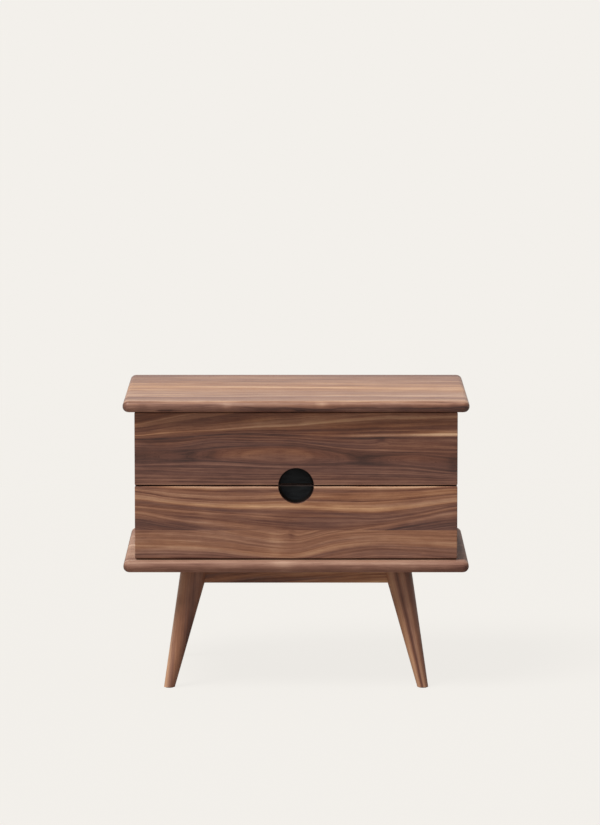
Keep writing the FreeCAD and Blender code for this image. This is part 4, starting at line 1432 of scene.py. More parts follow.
@dataclass
class DrawerFront:
    """A drawer front with eased edges and half of the finger hole, in millimetres.

    Its staves lie one over another, each with growth lines drawn on its face, and the joints are the
    heights between them. The faces that look up or down, mostly seen in the gaps between the parts, are
    darkened as painted shade, and the wall of the hole is darker. A face is on the wall where it is deeper
    than the wall's depth and more than the wall's share of its corners are within the wall's reach of the
    hole.
    """

    level: Level
    finish: WoodFinish
    staves: tuple[GrowthMap, ...]
    joints: tuple[float, ...] = ()
    corner: float = 2.0
    eased: float = 1.5
    eased_steps: int = 4
    hole_radius: float = 30.5
    hole_eased: float = 0.8
    lip: float = 8.0
    seat_radius: float = 37.0
    seat_clear: float = 3.0
    half_gap: float = 1.0
    side_columns: int = 64
    rows: int = 86
    joint_row: int = 34
    stave_shift: float = 900.0
    depth_growth: float = 0.35
    edge_facing: float = 0.7
    # Painted shade: the tone taken off the faces that look up or down, which are seen in the dark gaps
    gap_shade_tone: float = -0.34
    wall_reach: float = 0.9
    wall_depth: float = 0.02
    wall_share: float = 0.99
    wall_tone: float = -1.2

    def _layers(self, front: float, back: float) -> list[Layer]:
        """The levels through the front: eased edge and hole rim, the lip, then the wider seat of the pull.

        Args:
            front: Level of the face.
            back: Level of the back.

        Returns:
            The layers. The inset is the eased edge times one less the sine of the turn.
        """
        layers = []
        for turn in np.linspace(0, math.pi / 2, self.eased_steps + 1):
            level = front + self.eased * (1 - math.cos(turn))
            drawn = 1 - math.sin(turn)
            layers.append(Layer(level, self.eased * drawn, self.hole_radius + self.hole_eased * drawn))
        layers.append(Layer(front + self.lip, 0.0, self.hole_radius))
        layers.append(Layer(front + self.lip, 0.0, self.seat_radius))
        layers.append(Layer(back, 0.0, self.seat_radius))
        return layers

    def _paint(self, piece: bpy.types.Object, bottom: float, front: float, hole_height: float) -> None:
        """Write the grain at each face corner: along the board, the growth, and the depth behind the face.

        Args:
            piece: The front.
            bottom: Height of its lower edge.
            front: Where its face is.
            hole_height: Height of the hole's centre over the lower edge.
        """
        mesh = piece.data
        totals = np.empty(len(mesh.polygons), int)
        mesh.polygons.foreach_get("loop_total", totals)
        facing = np.empty(len(totals) * 3)
        mesh.polygons.foreach_get("normal", facing)
        face_of = np.repeat(np.arange(len(totals)), totals)

        spots = face_corners(mesh)
        along, deep, up = spots[:, 0], spots[:, 1] - front, spots[:, 2] - bottom
        face_up = (np.bincount(face_of, up) / totals)[face_of]
        face_deep = (np.bincount(face_of, deep) / totals)[face_of]
        # Faces that look up or down, which take painted shade
        gap_shaded = (np.abs(facing[2::3]) > self.edge_facing)[face_of]
        near = np.hypot(along, up - hole_height) < self.hole_radius + self.wall_reach
        near_share = (np.bincount(face_of, near) / totals)[face_of]
        on_wall = (face_deep > self.wall_depth) & (near_share > self.wall_share)

        edges = (-math.inf, *self.joints, math.inf)
        growth, accent, branch, shift = (np.zeros(len(up)) for _ in range(4))
        for number, (stave, start, end) in enumerate(zip(self.staves, edges, edges[1:])):
            here = (face_up >= start) & (face_up < end)
            growth[here] = stave.growth_at(along[here], up[here])
            accent[here] = stave.accents_at(along[here], up[here])
            branch[here] = stave.below_core(along[here], up[here])
            shift[here] = number * self.stave_shift
        # Painted shade on the faces that look up or down, and a darker wall in the hole
        accent = np.where(on_wall, self.wall_tone, accent + self.gap_shade_tone * gap_shaded)
        if self.joints:
            branch = (face_up < self.joints[0]).astype(float)
        grain = np.stack([along + shift, growth + deep * self.depth_growth, deep], axis=-1)
        paint(mesh, grain, accent, branch)

    def build(self) -> bpy.types.Object:
        """Build the front in its node's box, paint its grain and dress it.

        Returns:
            The front.
        """
        node = f"drawer_front_{self.level.value}"
        low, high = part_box(node)
        half, bottom, top = high.x * MM_PER_M, low.z * MM_PER_M, high.z * MM_PER_M
        front, back = low.y * MM_PER_M, high.y * MM_PER_M
        side = np.linspace(self.seat_radius + self.seat_clear, half - self.corner, self.side_columns)
        is_upper = self.level is Level.UPPER
        hole_height = -self.half_gap if is_upper else top - bottom + self.half_gap
        plate = Plate(
            half_length=half,
            low=bottom,
            high=top,
            corner=self.corner,
            layers=self._layers(front, back),
            stations=np.concatenate([-side[::-1], side]),
            breaks=tuple(bottom + joint for joint in self.joints),
            rows=(self.joint_row, self.rows - self.joint_row) if self.joints else (self.rows,),
            hole_edge=HoleEdge.LOWER if is_upper else HoleEdge.UPPER,
            hole_gap=self.half_gap,
        )
        points, faces = plate.surface()
        piece = make_piece(f"{node}_board", points[:, [0, 2, 1]] * MM, faces)
        self._paint(piece, bottom, front, hole_height)
        seat(piece, node, self.finish.material())
        return piece


# Growth lines of the upper front: an oval figure left of the middle, arches over it, and a wedge of
# straight streaks that climbs to the right
UPPER_GROWTH = GrowthMap(
    half_length=280.0,
    lines=(
        GrowthLine((0.0,) * 9, (50.0,) * 9),
        GrowthLine((27.0, 24.4, 21.7, 20.0, 20.0, 20.0, 19.4, 18.2, 14.7), (28.0,) * 9),
        GrowthLine((38.2, 41.0, 41.9, 39.2, 36.3, 36.3, 35.2, 31.4, 23.5), (12.0,) * 9),
        GrowthLine(
            (44.0, 45.0, 45.0, 43.0, 40.5, 41.5, 40.0, 37.0, 30.0),
            (11.4, 10.6, 7.5, 4.0, 4.2, 8.4, 9.5, 5.4, 6.5),
        ),
        GrowthLine(
            (50.0, 49.0, 48.0, 51.0, 51.5, 47.0, 44.0, 44.0, 36.0),
            (11.0, 9.6, 6.4, 0.8, 0.8, 7.6, 9.0, 4.2, 5.4),
        ),
        GrowthLine(
            (57.0, 56.0, 61.0, 63.5, 63.5, 55.0, 49.5, 50.0, 41.0),
            (11.4, 10.6, 7.2, 3.8, 4.0, 8.4, 9.5, 5.4, 6.5),
        ),
        GrowthLine((62.0, 61.1, 66.0, 68.3, 68.0, 59.7, 53.8, 53.5, 46.0), (12.0,) * 9),
        GrowthLine((67.6, 66.8, 77.4, 75.5, 74.3, 65.4, 60.2, 58.2, 56.4), (20.0,) * 9),
        GrowthLine((81.6, 84.8, 90.0, 91.8, 89.2, 86.8, 88.3, 88.7, 89.5), (32.0,) * 9),
        GrowthLine((85.7, 93.0, 96.0, 100.9, 104.8, 110.6, 115.6, 119.0, 120.0), (44.0,) * 9),
        GrowthLine((105.8, 119.5, 130.1, 140.6, 147.6, 153.1, 156.6, 158.4, 160.1), (58.0,) * 9),
        GrowthLine((126.0, 140.0, 152.0, 163.0, 170.0, 173.0, 177.0, 178.0, 180.0), (70.0,) * 9),
    ),
    swirls=(Swirl(149.0, 76.0, 11.0, 4.0, -2.4), Swirl(110.0, 50.0, 30.0, 8.0, 2.0)),
    accents=(
        Accent(255.0, 88.6, 90.0, 3.3, 0.95),
        Accent(262.0, 94.4, 46.0, 2.0, 0.5),
        Accent(120.0, 86.8, 60.0, 1.8, 0.5),
        Accent(-60.0, 107.0, 95.0, 6.0, 0.14),
        Accent(-110.0, 97.5, 70.0, 1.5, 0.14),
        Accent(-215.0, 78.5, 60.0, 2.6, -0.16),
        Accent(149.0, 79.5, 7.0, 3.5, -0.24),
        Accent(-180.0, 47.0, 16.0, 7.0, -0.2),
        Accent(-240.0, 47.0, 36.0, 8.0, 0.14),
        Accent(-150.0, 47.0, 26.0, 6.0, -0.06),
        Accent(-90.0, 52.0, 30.0, 6.0, 0.08),
        Accent(128.0, 51.0, 42.0, 8.0, -0.14),
        Accent(-30.0, 46.0, 12.0, 4.0, -0.1),
        Accent(274.0, 42.0, 12.0, 7.0, -0.16),
        # A painted highlight along the lit arris at the lower edge
        Accent(-150.0, 3.0, 90.0, 1.6, 0.08),
        Accent(-262.0, 105.0, 30.0, 2.0, 0.14),
    ),
    core=4,
)
UPPER_BANDS = (
    (0.0, 0.40), (2.8, 0.38), (4.6, 0.32), (6.5, 0.27), (8.0, 0.26), (10.0, 0.24), (12.3, 0.16),
    (14.5, 0.28), (16.5, 0.26), (18.4, 0.24), (20.0, 0.43), (21.5, 0.22), (24.0, 0.38), (25.5, 0.24),
    (27.5, 0.40), (29.0, 0.22), (31.0, 0.15), (32.2, 0.34), (33.4, 0.24), (35.0, 0.38), (37.0, 0.28),
    (39.0, 0.47), (40.6, 0.30), (42.6, 0.40), (44.0, 0.72), (45.4, 0.43), (48.5, 0.38), (50.5, 0.28),
    (54.0, 0.32), (56.5, 0.42), (58.2, 0.60), (60.0, 0.30),
)
UPPER_HUES = ((0.0, 0.6), (4.0, 0.5), (8.0, 0.1), (30.0, 0.15), (33.0, 0.8), (40.0, 1.0), (60.0, 1.0))
UPPER_LOW_BANDS = (
    (0.0, 0.41), (2.8, 0.40), (4.6, 0.34), (6.5, 0.27), (8.0, 0.29), (10.0, 0.22), (12.3, 0.15),
    (14.5, 0.34), (16.5, 0.48), (18.0, 0.28), (20.5, 0.24), (22.5, 0.40), (24.0, 0.28), (26.5, 0.44),
    (28.5, 0.24), (31.0, 0.38), (33.0, 0.26), (35.5, 0.44), (38.0, 0.28), (40.0, 0.34), (42.0, 0.46),
    (44.0, 0.28), (47.5, 0.38), (49.0, 0.54), (50.0, 0.60), (60.0, 0.44),
)
# The lower front is glued from two staves: a lower one with a valley left of the middle, and an upper
# one whose lines all sag
LOWER_STAVE_GROWTH = GrowthMap(
    half_length=280.0,
    lines=(
        GrowthLine((-5.3, -5.3, -8.8, -15.8, -19.3, -7.0, 1.8, 0.0, -5.3), (50.0,) * 9),
        GrowthLine((7.4, 7.2, 5.3, -1.8, -5.3, 7.9, 16.8, 14.4, 8.2), (40.0,) * 9),
        GrowthLine((24.5, 23.1, 18.6, 9.5, 7.0, 25.2, 32.6, 30.7, 28.2), (28.0,) * 9),
        GrowthLine((47.3, 47.3, 42.4, 31.2, 26.0, 42.7, 47.3, 47.0, 46.3), (14.0,) * 9),
        GrowthLine((68.0, 66.6, 63.0, 52.6, 45.8, 61.3, 66.6, 66.6, 66.6), (0.0,) * 9),
    ),
    swirls=(Swirl(-14.0, 42.0, 9.0, 9.0, 4.0),),
    accents=(
        Accent(-36.0, 34.0, 14.0, 12.0, 0.14),
        Accent(-36.0, 9.0, 11.0, 8.0, 0.12),
        Accent(-8.0, 42.0, 6.0, 6.0, -0.16),
        Accent(-190.0, 20.0, 90.0, 4.0, 0.08),
    ),
)
LOWER_SAG_GROWTH = GrowthMap(
    half_length=280.0,
    lines=(
        GrowthLine((40.0, 31.0, 22.0, 14.0, 7.0, 7.0, 19.0, 31.0, 40.0), (76.0,) * 9),
        GrowthLine((54.3, 45.6, 36.8, 28.0, 21.0, 21.0, 33.3, 45.6, 54.3), (68.0,) * 9),
        GrowthLine((81.5, 68.7, 60.8, 52.0, 45.6, 44.7, 56.0, 68.7, 81.5), (54.0,) * 9),
        GrowthLine((92.0, 85.8, 80.0, 74.5, 69.7, 68.3, 66.8, 75.3, 89.4), (44.0,) * 9),
        GrowthLine((102.3, 93.9, 88.3, 85.8, 84.1, 82.3, 81.8, 88.5, 98.5), (34.0,) * 9),
        GrowthLine((118.4, 107.6, 103.0, 102.5, 103.0, 102.0, 101.3, 106.3, 113.9), (20.0,) * 9),
        GrowthLine((125.1, 121.2, 117.4, 117.9, 119.1, 118.3, 117.7, 120.5, 124.2), (8.0,) * 9),
        GrowthLine((130.0, 128.0, 127.5, 127.5, 127.5, 127.5, 127.5, 128.0, 130.0), (0.0,) * 9),
    ),
    accents=(
        Accent(-255.0, 60.0, 34.0, 6.0, -0.06),
        Accent(266.0, 62.0, 30.0, 6.0, -0.05),
        Accent(-230.0, 77.0, 50.0, 2.0, 0.12),
        Accent(240.0, 74.0, 40.0, 2.0, 0.12),
        Accent(-60.0, 94.0, 120.0, 5.0, 0.06),
    ),
)
LOWER_BANDS = (
    (0.0, 0.46), (2.5, 0.54), (5.0, 0.42), (7.5, 0.52), (10.0, 0.46), (12.0, 0.58), (14.0, 0.42),
    (17.0, 0.56), (19.0, 0.46), (22.0, 0.56), (24.5, 0.46), (27.0, 0.58), (30.0, 0.62), (33.0, 0.60),
    (35.5, 0.44), (37.5, 0.54), (40.0, 0.34), (42.0, 0.44), (44.5, 0.34), (47.0, 0.42), (50.0, 0.34),
)
SAG_HUES = (
    (0.0, 0.7), (8.0, 0.5), (14.0, 0.8), (24.0, 0.8), (32.0, 0.9), (36.0, 0.2), (52.0, 0.3),
    (60.0, 0.0),
)
# The pale band at 1.8, just under the top edge, is a painted highlight of the lit arris
SAG_BANDS = (
    (0.0, 0.50), (1.8, 0.86), (3.8, 0.56), (6.0, 0.34), (8.0, 0.26), (10.0, 0.50), (12.5, 0.42),
    (14.5, 0.58), (17.0, 0.54), (19.0, 0.36), (20.2, 0.22), (21.8, 0.58), (24.0, 0.50), (26.0, 0.66),
    (29.0, 0.74), (32.0, 0.62), (34.0, 0.37), (36.5, 0.30), (39.0, 0.41), (41.5, 0.30), (43.0, 0.43),
    (44.4, 0.55), (46.0, 0.35), (49.0, 0.31), (51.5, 0.39), (54.0, 0.59), (56.0, 0.41), (59.0, 0.29),
    (63.0, 0.21), (67.0, 0.26), (71.0, 0.18), (76.0, 0.26),
)


@dataclass
class Drawers:
    """Both drawers: fronts, pulls, dovetailed boxes and what is fixed to them, in millimetres."""

    lower_joint: float = 50.0
    box_stave: float = 400.0
    bottom_stave: float = 160.0

    def _fronts(self) -> None:
        """The two walnut fronts."""
        upper = WoodFinish(
            "walnut_front_upper",
            source=GrainSource.PAINTED,
            bands=UPPER_BANDS,
            other_bands=UPPER_LOW_BANDS,
            hues=UPPER_HUES,
            tone=-0.05,
            contrast=0.85,
            calm=(1.0, 15.0),
            other_cool=0.7,
            drift=1.6,
        )
        DrawerFront(Level.UPPER, upper, (UPPER_GROWTH,)).build()
        lower = WoodFinish(
            "walnut_front_lower",
            source=GrainSource.PAINTED,
            bands=SAG_BANDS,
            other_bands=LOWER_BANDS,
            hues=SAG_HUES,
            tone=-0.02,
            contrast=0.9,
            other_cool=0.25,
            drift=1.6,
        )
        staves = (LOWER_STAVE_GROWTH, LOWER_SAG_GROWTH)
        DrawerFront(Level.LOWER, lower, staves, joints=(self.lower_joint,)).build()

    def _box_wood(self, name: str, grain: Axis, seed: float) -> bpy.types.Material:
        """The pale solid wood of a box.

        Args:
            name: The finish's name.
            grain: Which way the wood runs.
            seed: Which log it is from.

        Returns:
            The material.
        """
        trunk = Trunk(grain, stave=self.box_stave, seed=seed)
        return WoodFinish(name, PALE_WOOD, trunk=trunk, contrast=0.6, pore=0.2).material()

    def build(self) -> None:
        """Build and dress both drawers."""
        self._fronts()
        black = StainedFinish("stained_black").material()
        sides = self._box_wood("box_wood_lengthwise", Axis.Y, 5.0)
        ends = self._box_wood("box_wood_crosswise", Axis.X, 8.0)
        bottoms = WoodFinish(
            "bottom_veneer",
            PALE_WOOD,
            trunk=Trunk(Axis.X, stave=self.bottom_stave, pith_depth=60.0, seed=2.0),
            contrast=0.45,
            tone=0.12,
            pore=0.15,
        ).material()
        rubber = MouldedFinish("bumper_rubber", (176, 174, 164), (200, 198, 190), 0.45).material()
        for level in Level:
            dress(f"pull_{level.value}", black)
            for hand in HANDS:
                dress(f"box_side_{level.value}_{hand}", sides)
            dress(f"box_front_{level.value}", ends)
            dress(f"box_back_{level.value}", ends)
            dress(f"box_bottom_{level.value}", bottoms)
            dress(f"bumpers_{level.value}", rubber)


# Bands of the top from the bottom of its front edge to the back. The pale band from 3 to 14, on the
# upper round of the front edge, is partly grain and partly a painted highlight
TOP_BANDS = (
    (-16.0, 0.30), (-8.0, 0.35), (-4.0, 0.43), (0.0, 0.45), (3.0, 0.57), (8.0, 0.80), (14.0, 0.70),
    (27.0, 0.68), (34.0, 0.54), (44.0, 0.40), (57.0, 0.42), (68.0, 0.66), (84.0, 0.78), (98.0, 0.66),
    (113.0, 0.56), (127.0, 0.64), (141.0, 0.56), (158.0, 0.66), (170.0, 0.56), (184.0, 0.62),
    (200.0, 0.72), (214.0, 0.74), (226.0, 0.54), (244.0, 0.62), (259.0, 0.50), (274.0, 0.50),
    (289.0, 0.56), (304.0, 0.50), (322.0, 0.52), (350.0, 0.50), (368.0, 0.38), (400.0, 0.46),
)
TOP_HUES = ((-16.0, 0.0), (60.0, 0.0), (120.0, 0.2), (170.0, 1.0), (240.0, 1.0), (300.0, 0.1), (400.0, 0.0))
TOP_ACCENTS = (
    Accent(-266.0, -5.0, 9.0, 5.0, -0.16),
    Accent(-200.0, 2.0, 60.0, 2.5, 0.04),
    Accent(-215.0, -13.0, 70.0, 4.0, 0.06),
    Accent(-190.0, -6.0, 80.0, 3.0, -0.02),
    Accent(-150.0, -8.0, 26.0, 2.5, -0.06),
    Accent(-119.0, -5.0, 7.0, 6.0, 0.14),
    Accent(-30.0, 8.0, 70.0, 3.0, -0.16),
    Accent(-20.0, -12.0, 70.0, 6.0, -0.14),
    Accent(44.0, -3.0, 9.0, 7.0, 0.22),
    Accent(190.0, 1.0, 90.0, 3.0, -0.1),
    Accent(190.0, -9.0, 22.0, 3.0, -0.16),
    Accent(150.0, -14.0, 90.0, 4.0, 0.08),
    Accent(272.0, -3.0, 10.0, 4.0, -0.14),
    Accent(-298.0, -6.0, 5.0, 9.0, -0.24),
    Accent(298.0, -6.0, 5.0, 9.0, -0.24),
)
# Bands of the base, the same way. The dark bands from 25 to 33, just behind the face of the lower
# drawer front, are a painted shadow under it
BASE_BANDS = (
    (-16.0, 0.38), (-12.0, 0.48), (-8.0, 0.44), (-4.0, 0.56), (0.0, 0.64), (3.5, 0.68), (9.0, 0.62),
    (15.0, 0.74), (21.0, 0.64), (25.0, 0.40), (33.0, 0.38), (42.0, 0.58), (60.0, 0.55), (90.0, 0.66),
    (130.0, 0.56), (178.0, 0.62), (189.0, 0.80), (197.0, 0.60), (230.0, 0.55), (290.0, 0.64),
    (350.0, 0.5), (400.0, 0.56),
)
BASE_ACCENTS = (
    Accent(-22.0, 0.0, 22.0, 12.0, 0.16),
    Accent(-170.0, -2.0, 60.0, 4.0, -0.08),
    # A painted shadow of the case on the right end of the base
    Accent(283.0, 190.0, 24.0, 175.0, -0.42),
    # Painted light on the left end of the base, where the lamp falls
    Accent(-283.0, 190.0, 24.0, 175.0, 0.16),
    Accent(-298.0, -8.0, 5.0, 8.0, -0.24),
    Accent(298.0, -8.0, 5.0, 8.0, -0.24),
)
BASE_HUES = ((-16.0, 0.0), (12.0, 0.0), (24.0, 0.15), (184.0, 0.25), (200.0, 0.1), (400.0, 0.1))


@dataclass
class Case:
    """The two panels, the sides, the back and the rail between the drawers, in millimetres."""

    top_sway: float = 0.06
    side_stave: float = 84.0
    rail_stave: float = 200.0
    back_stave: float = 140.0
    dowel_stave: float = 50.0

    def _panels(self) -> None:
        """The top and the base."""
        top = WoodFinish(
            "walnut_top",
            source=GrainSource.PAINTED,
            bands=TOP_BANDS,
            hues=TOP_HUES,
            tone=0.06,
            contrast=0.75,
            drift=5.0,
            broad=0.9,
            late=0.34,
            end_grain=0.4,
        )
        base = WoodFinish(
            "walnut_base",
            source=GrainSource.PAINTED,
            bands=BASE_BANDS,
            hues=BASE_HUES,
            contrast=0.7,
            drift=3.0,
            warmth=-0.3,
            roughness=0.57,
            sheen=0.18,
            end_grain=0.4,
        )
        Panel("top_panel", top, TOP_ACCENTS, sway=self.top_sway).build()
        Panel("base_panel", base, BASE_ACCENTS).build()

    def build(self) -> None:
        """Build and dress the case."""
        self._panels()
        quarter = (0.0, 0.0, math.pi / 2)
        sides = WoodFinish(
            "walnut_sides",
            trunk=Trunk(Axis.Z, turn=quarter, stave=self.side_stave, pith_depth=36.0, seed=6.0),
            late=0.2,
        ).material()
        rail = WoodFinish("walnut_rail", trunk=Trunk(Axis.X, stave=self.rail_stave, seed=3.0)).material()
        veneer = WoodFinish(
            "walnut_back",
            trunk=Trunk(Axis.Z, stave=self.back_stave, pith_depth=50.0, seed=7.0),
            tone=0.05,
            contrast=0.8,
            late=0.2,
        ).material()
        for hand in HANDS:
            dress(f"side_panel_{hand}", sides)
        dress("divider_rail", rail)
        dress("back_panel", veneer)
        trunk = Trunk(Axis.Z, stave=self.dowel_stave)
        dress("case_dowels", WoodFinish("dowel_beech", PALE_WOOD, trunk=trunk, contrast=0.4).material())


@dataclass(frozen=True)
class LegFigure:
    """The grain of one leg, in millimetres.

    The stripes run down the leg and are given across it from the left at its top. They tilt off its axis
    by an angle in radians, and draw together by the taper's share in each millimetre. The lean is the
    tone added in each metre along the leg, and the hue is 0 for cool and 1 for warm. The stripes and the
    lean are partly grain and partly painted light and shade: a paler foot on the lit side, darker stripes
    on the side away from the lamp, and a tone that changes along the leg where the panel above shades it.
    """

    stripes: tuple[Stop, ...]
    tilt: float
    taper: float
    lean: float
    hue: float


# The pale stripes at the far left are a painted highlight on the lit lower side of the leg, and the darker
# stripes to the right are partly painted shade
LEFT_LEG = LegFigure(
    (
        (-42.0, 1.0), (-34.0, 1.0), (-30.0, 1.0), (-26.5, 0.73), (-23.0, 0.65), (-19.0, 0.68),
        (-14.0, 0.61), (-10.0, 0.56), (-5.0, 0.48), (0.0, 0.39), (3.0, 0.37), (6.0, 0.47),
        (10.0, 0.44), (15.0, 0.46), (26.0, 0.40),
    ),
    tilt=0.12,
    taper=0.0,
    lean=0.9,
    hue=0.4,
)
# The dark stripes on the right are partly painted shade on the side away from the lamp
RIGHT_LEG = LegFigure(
    (
        (-26.0, 0.42), (-20.0, 0.66), (-13.0, 0.69), (-9.0, 0.60), (-6.0, 0.34), (-3.0, 0.22),
        (0.0, 0.34), (3.0, 0.58), (7.0, 0.62), (10.5, 0.47), (13.0, 0.34), (17.0, 0.28), (26.0, 0.24),
    ),
    tilt=0.0,
    taper=0.0024,
    lean=-0.5,
    hue=0.45,
)


@dataclass
class LegFrame:
    """Four turned legs, their aprons and blocks, and the glides under the feet, in millimetres.

    The spreads are how far a leg leans outwards and to the front or back over its height.
    """

    top_x: float = 177.0
    top_y: float = 124.0
    top_z: float = 210.0
    spread_x: float = 45.0
    spread_y: float = 27.5
    pith_side: float = 200.0
    stripe_reach: float = 60.0
    leg_stave: float = 900.0
    apron_stave: float = 500.0
    block_stave: float = 300.0

    def _trunk(self, outward: int, forward: int, figure: LegFigure) -> Trunk:
        """The log of one leg: its grain runs down the leg and its growth is the way across from the left.

        Args:
            outward: One for a right leg and minus one for a left one.
            forward: One for a rear leg and minus one for a front one.
            figure: The leg's grain.

        Returns:
            The log.
        """
        axis = Vector((-outward * self.spread_x, forward * -self.spread_y, self.top_z))
        pitch = math.atan2(axis.y, axis.z)
        roll = -math.atan2(axis.x, math.hypot(axis.y, axis.z)) + figure.tilt
        turn = Euler((pitch, roll, math.pi / 2))
        middle = turn.to_matrix() @ Vector((outward * self.top_x, forward * self.top_y, self.top_z))
        return Trunk(
            Axis.Z,
            turn=tuple(turn),
            shift=tuple(-middle),
            stave=self.leg_stave,
            pith_side=self.pith_side,
            pith_depth=0.0,
            pith_wander=0.0,
            bend=0.0,
            scatter=0.0,
            taper=figure.taper,
        )

    def _legs(self) -> None:
        """Dress the legs, each with its own stripes from left to right."""
        first, last = self.pith_side - self.stripe_reach, self.pith_side + self.stripe_reach
        for end, forward in (("front", -1), ("rear", 1)):
            for hand, outward in (("left", -1), ("right", 1)):
                figure = LEFT_LEG if outward == forward else RIGHT_LEG
                finish = WoodFinish(
                    f"walnut_leg_{end}_{hand}",
                    trunk=self._trunk(outward, forward, figure),
                    bands=tuple((self.pith_side + place, tone) for place, tone in figure.stripes),
                    contrast=0.5,
                    drift=1.2,
                    lean=figure.lean,
                    hues=((first, figure.hue), (last, figure.hue)),
                    end_grain=0.0,
                )
                dress(f"leg_{end}_{hand}", finish.material())

    def build(self) -> None:
        """Dress the legs, then the rest of the frame."""
        self._legs()
        long_trunk = Trunk(Axis.X, stave=self.apron_stave, seed=1.0)
        long = WoodFinish("walnut_aprons_long", trunk=long_trunk, warmth=0.1, lean=1.0, tone=0.04).material()
        short_trunk = Trunk(Axis.Y, stave=self.apron_stave, seed=2.0)
        short = WoodFinish("walnut_aprons_short", trunk=short_trunk, warmth=0.1).material()
        for side in ("front", "rear"):
            dress(f"apron_{side}", long)
        for hand in HANDS:
            dress(f"apron_{hand}", short)
        trunk = Trunk(Axis.X, stave=self.block_stave)
        dress("corner_blocks", WoodFinish("block_wood", PALE_WOOD, trunk=trunk, tone=-0.2).material())
        dress("foot_glides", MouldedFinish("glide_nylon", (70, 55, 44), (92, 74, 60), 0.4).material())


@dataclass
class Hardware:
    """Slides, balls and screws."""

    def build(self) -> None:
        """Dress every steel piece."""
        slide = MetalFinish("slide_zinc").material()
        balls = MetalFinish("ball_steel", (186, 188, 190), (140, 142, 146), 0.12).material()
        screws = MetalFinish("screw_zinc", (172, 172, 166), (124, 124, 120), 0.22, Axis.X).material()
        for level in Level:
            for hand in HANDS:
                for member in ("rail", "mid", "inner"):
                    dress(f"slide_{member}_{level.value}_{hand}", slide)
            dress(f"outer_balls_{level.value}", balls)
            dress(f"inner_balls_{level.value}", balls)
            dress(f"slide_screws_{level.value}", screws)
            dress(f"front_screws_{level.value}", screws)
        for name in ("frame_screws", "back_panel_screws", "slide_rail_screws"):
            dress(name, screws)


def mix_shaders(
    tree: bpy.types.NodeTree,
    share: bpy.types.NodeSocket | float,
    first: bpy.types.NodeSocket,
    second: bpy.types.NodeSocket,
) -> bpy.types.NodeSocket:
    """One shader that gives way to another.

    Args:
        tree: The node tree.
        share: Nought for the first shader and one for the second.
        first: The first shader.
        second: The second shader.

    Returns:
        The shader between them.
    """
    mix = tree.nodes.new("ShaderNodeMixShader")
    if isinstance(share, float):
        mix.inputs[0].default_value = share
    else:
        tree.links.new(share, mix.inputs[0])
    tree.links.new(first, mix.inputs[1])
    tree.links.new(second, mix.inputs[2])
    return mix.outputs[0]


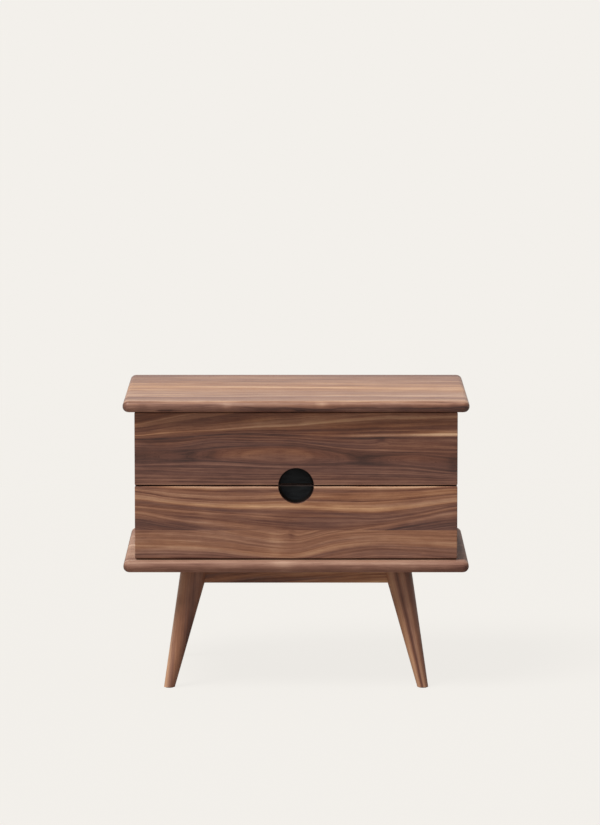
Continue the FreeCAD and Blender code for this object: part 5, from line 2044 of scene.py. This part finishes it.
@dataclass
class Studio:
    """A pale floor that fades into a pale room, a soft lamp and the camera, in metres and degrees."""

    backdrop: Colour = (243, 240, 235)
    floor_colour: Colour = (206, 204, 200)
    bounce_colour: Colour = (188, 180, 172)
    room_light: float = 0.46
    room_colour: Light = (1.0, 0.985, 0.96, 1.0)
    key_from: Triple = (-0.42, -0.36, 0.83)
    key_strength: float = 3.5
    key_spread: float = 28.0
    key_colour: Triple = (1.0, 0.985, 0.965)
    floor_half: float = 7.0
    floor_fade: tuple[float, float] = (1.6, 5.5)
    shadow_share: float = 0.075
    camera_at: Triple = (0.0068, -7.8132, 1.4567)
    camera_down: float = 7.231
    sensor_mm: float = 36.0
    lens_mm: float = 194.0
    clip_end: float = 100.0

    def _floor_material(self) -> bpy.types.Material:
        """A matt floor that fades out with distance.

        The camera sees the backdrop colour with a faint shadow. Other light meets a plain matt floor.

        Returns:
            The material.
        """
        bench = Bench("studio_floor")
        tree = bench.tree
        seen = bench.node("ShaderNodeEmission")
        seen.inputs["Color"].default_value = linear(self.backdrop)
        shadowed = bench.node("ShaderNodeBsdfDiffuse")
        shadowed.inputs["Color"].default_value = linear(self.floor_colour)
        bounce = bench.node("ShaderNodeBsdfDiffuse")
        bounce.inputs["Color"].default_value = linear(self.bounce_colour)
        clear = bench.node("ShaderNodeBsdfTransparent")
        path = bench.node("ShaderNodeLightPath")
        view = mix_shaders(tree, self.shadow_share, seen.outputs[0], shadowed.outputs[0])
        solid = mix_shaders(tree, path.outputs["Is Camera Ray"], bounce.outputs[0], view)
        x, y, _ = bench.split(bench.object_point())
        fade = ((x * x + y * y).root() * MM).eased(*self.floor_fade)
        output = bench.node("ShaderNodeOutputMaterial")
        faded = mix_shaders(tree, fade.socket, solid, clear.outputs[0])
        tree.links.new(faded, output.inputs["Surface"])
        return bench.material

    def _floor(self) -> None:
        """A flat square under the feet."""
        half = self.floor_half
        mesh = bpy.data.meshes.new("studio_floor")
        corners = [(-half, -half, 0.0), (half, -half, 0.0), (half, half, 0.0), (-half, half, 0.0)]
        mesh.from_pydata(corners, [], [(0, 1, 2, 3)])
        mesh.materials.append(self._floor_material())
        floor = bpy.data.objects.new("studio_floor", mesh)
        bpy.context.scene.collection.objects.link(floor)

    def _room(self) -> None:
        """The room: the backdrop colour to the camera and in gloss, and a softer light elsewhere."""
        world = bpy.data.worlds.new("studio_room")
        bpy.context.scene.world = world
        world.use_nodes = True
        tree = world.node_tree
        tree.nodes.clear()
        seen = tree.nodes.new("ShaderNodeBackground")
        seen.inputs["Color"].default_value = linear(self.backdrop)
        light = tree.nodes.new("ShaderNodeBackground")
        light.inputs["Color"].default_value = self.room_colour
        light.inputs["Strength"].default_value = self.room_light
        path = tree.nodes.new("ShaderNodeLightPath")
        either = tree.nodes.new("ShaderNodeMath")
        either.operation = "MAXIMUM"
        tree.links.new(path.outputs["Is Camera Ray"], either.inputs[0])
        tree.links.new(path.outputs["Is Glossy Ray"], either.inputs[1])
        room = mix_shaders(tree, either.outputs[0], light.outputs[0], seen.outputs[0])
        output = tree.nodes.new("ShaderNodeOutputWorld")
        tree.links.new(room, output.inputs["Surface"])

    def _lamp(self) -> None:
        """A broad distant lamp that shines from over the left shoulder."""
        lamp = bpy.data.lights.new("key", "SUN")
        lamp.energy = self.key_strength
        lamp.angle = math.radians(self.key_spread)
        lamp.color = self.key_colour
        holder = bpy.data.objects.new("key", lamp)
        holder.rotation_euler = (-Vector(self.key_from)).to_track_quat("-Z", "Y").to_euler()
        bpy.context.scene.collection.objects.link(holder)

    def _camera(self) -> None:
        """A long lens a little above the top panel, looking slightly down."""
        data = bpy.data.cameras.new("camera")
        data.sensor_fit = "VERTICAL"
        data.sensor_height = self.sensor_mm
        data.lens = self.lens_mm
        data.clip_end = self.clip_end
        camera = bpy.data.objects.new("camera", data)
        camera.location = self.camera_at
        camera.rotation_euler = (math.radians(90.0 - self.camera_down), 0.0, 0.0)
        bpy.context.scene.collection.objects.link(camera)
        bpy.context.scene.camera = camera

    def build(self) -> None:
        """Set the floor, the room, the lamp and the camera."""
        bpy.context.scene.view_settings.view_transform = "Standard"
        self._floor()
        self._room()
        self._lamp()
        self._camera()


def main() -> None:
    """Build the studio and the nightstand, and log each part as it is done."""
    logging.basicConfig(level=logging.INFO, format="%(name)s: %(message)s")
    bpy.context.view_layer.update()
    Studio().build()
    for part in (Case(), Drawers(), LegFrame(), Hardware()):
        part.build()
        LOG.info("%s is done", type(part).__name__)


if __name__ == "__main__":
    main()
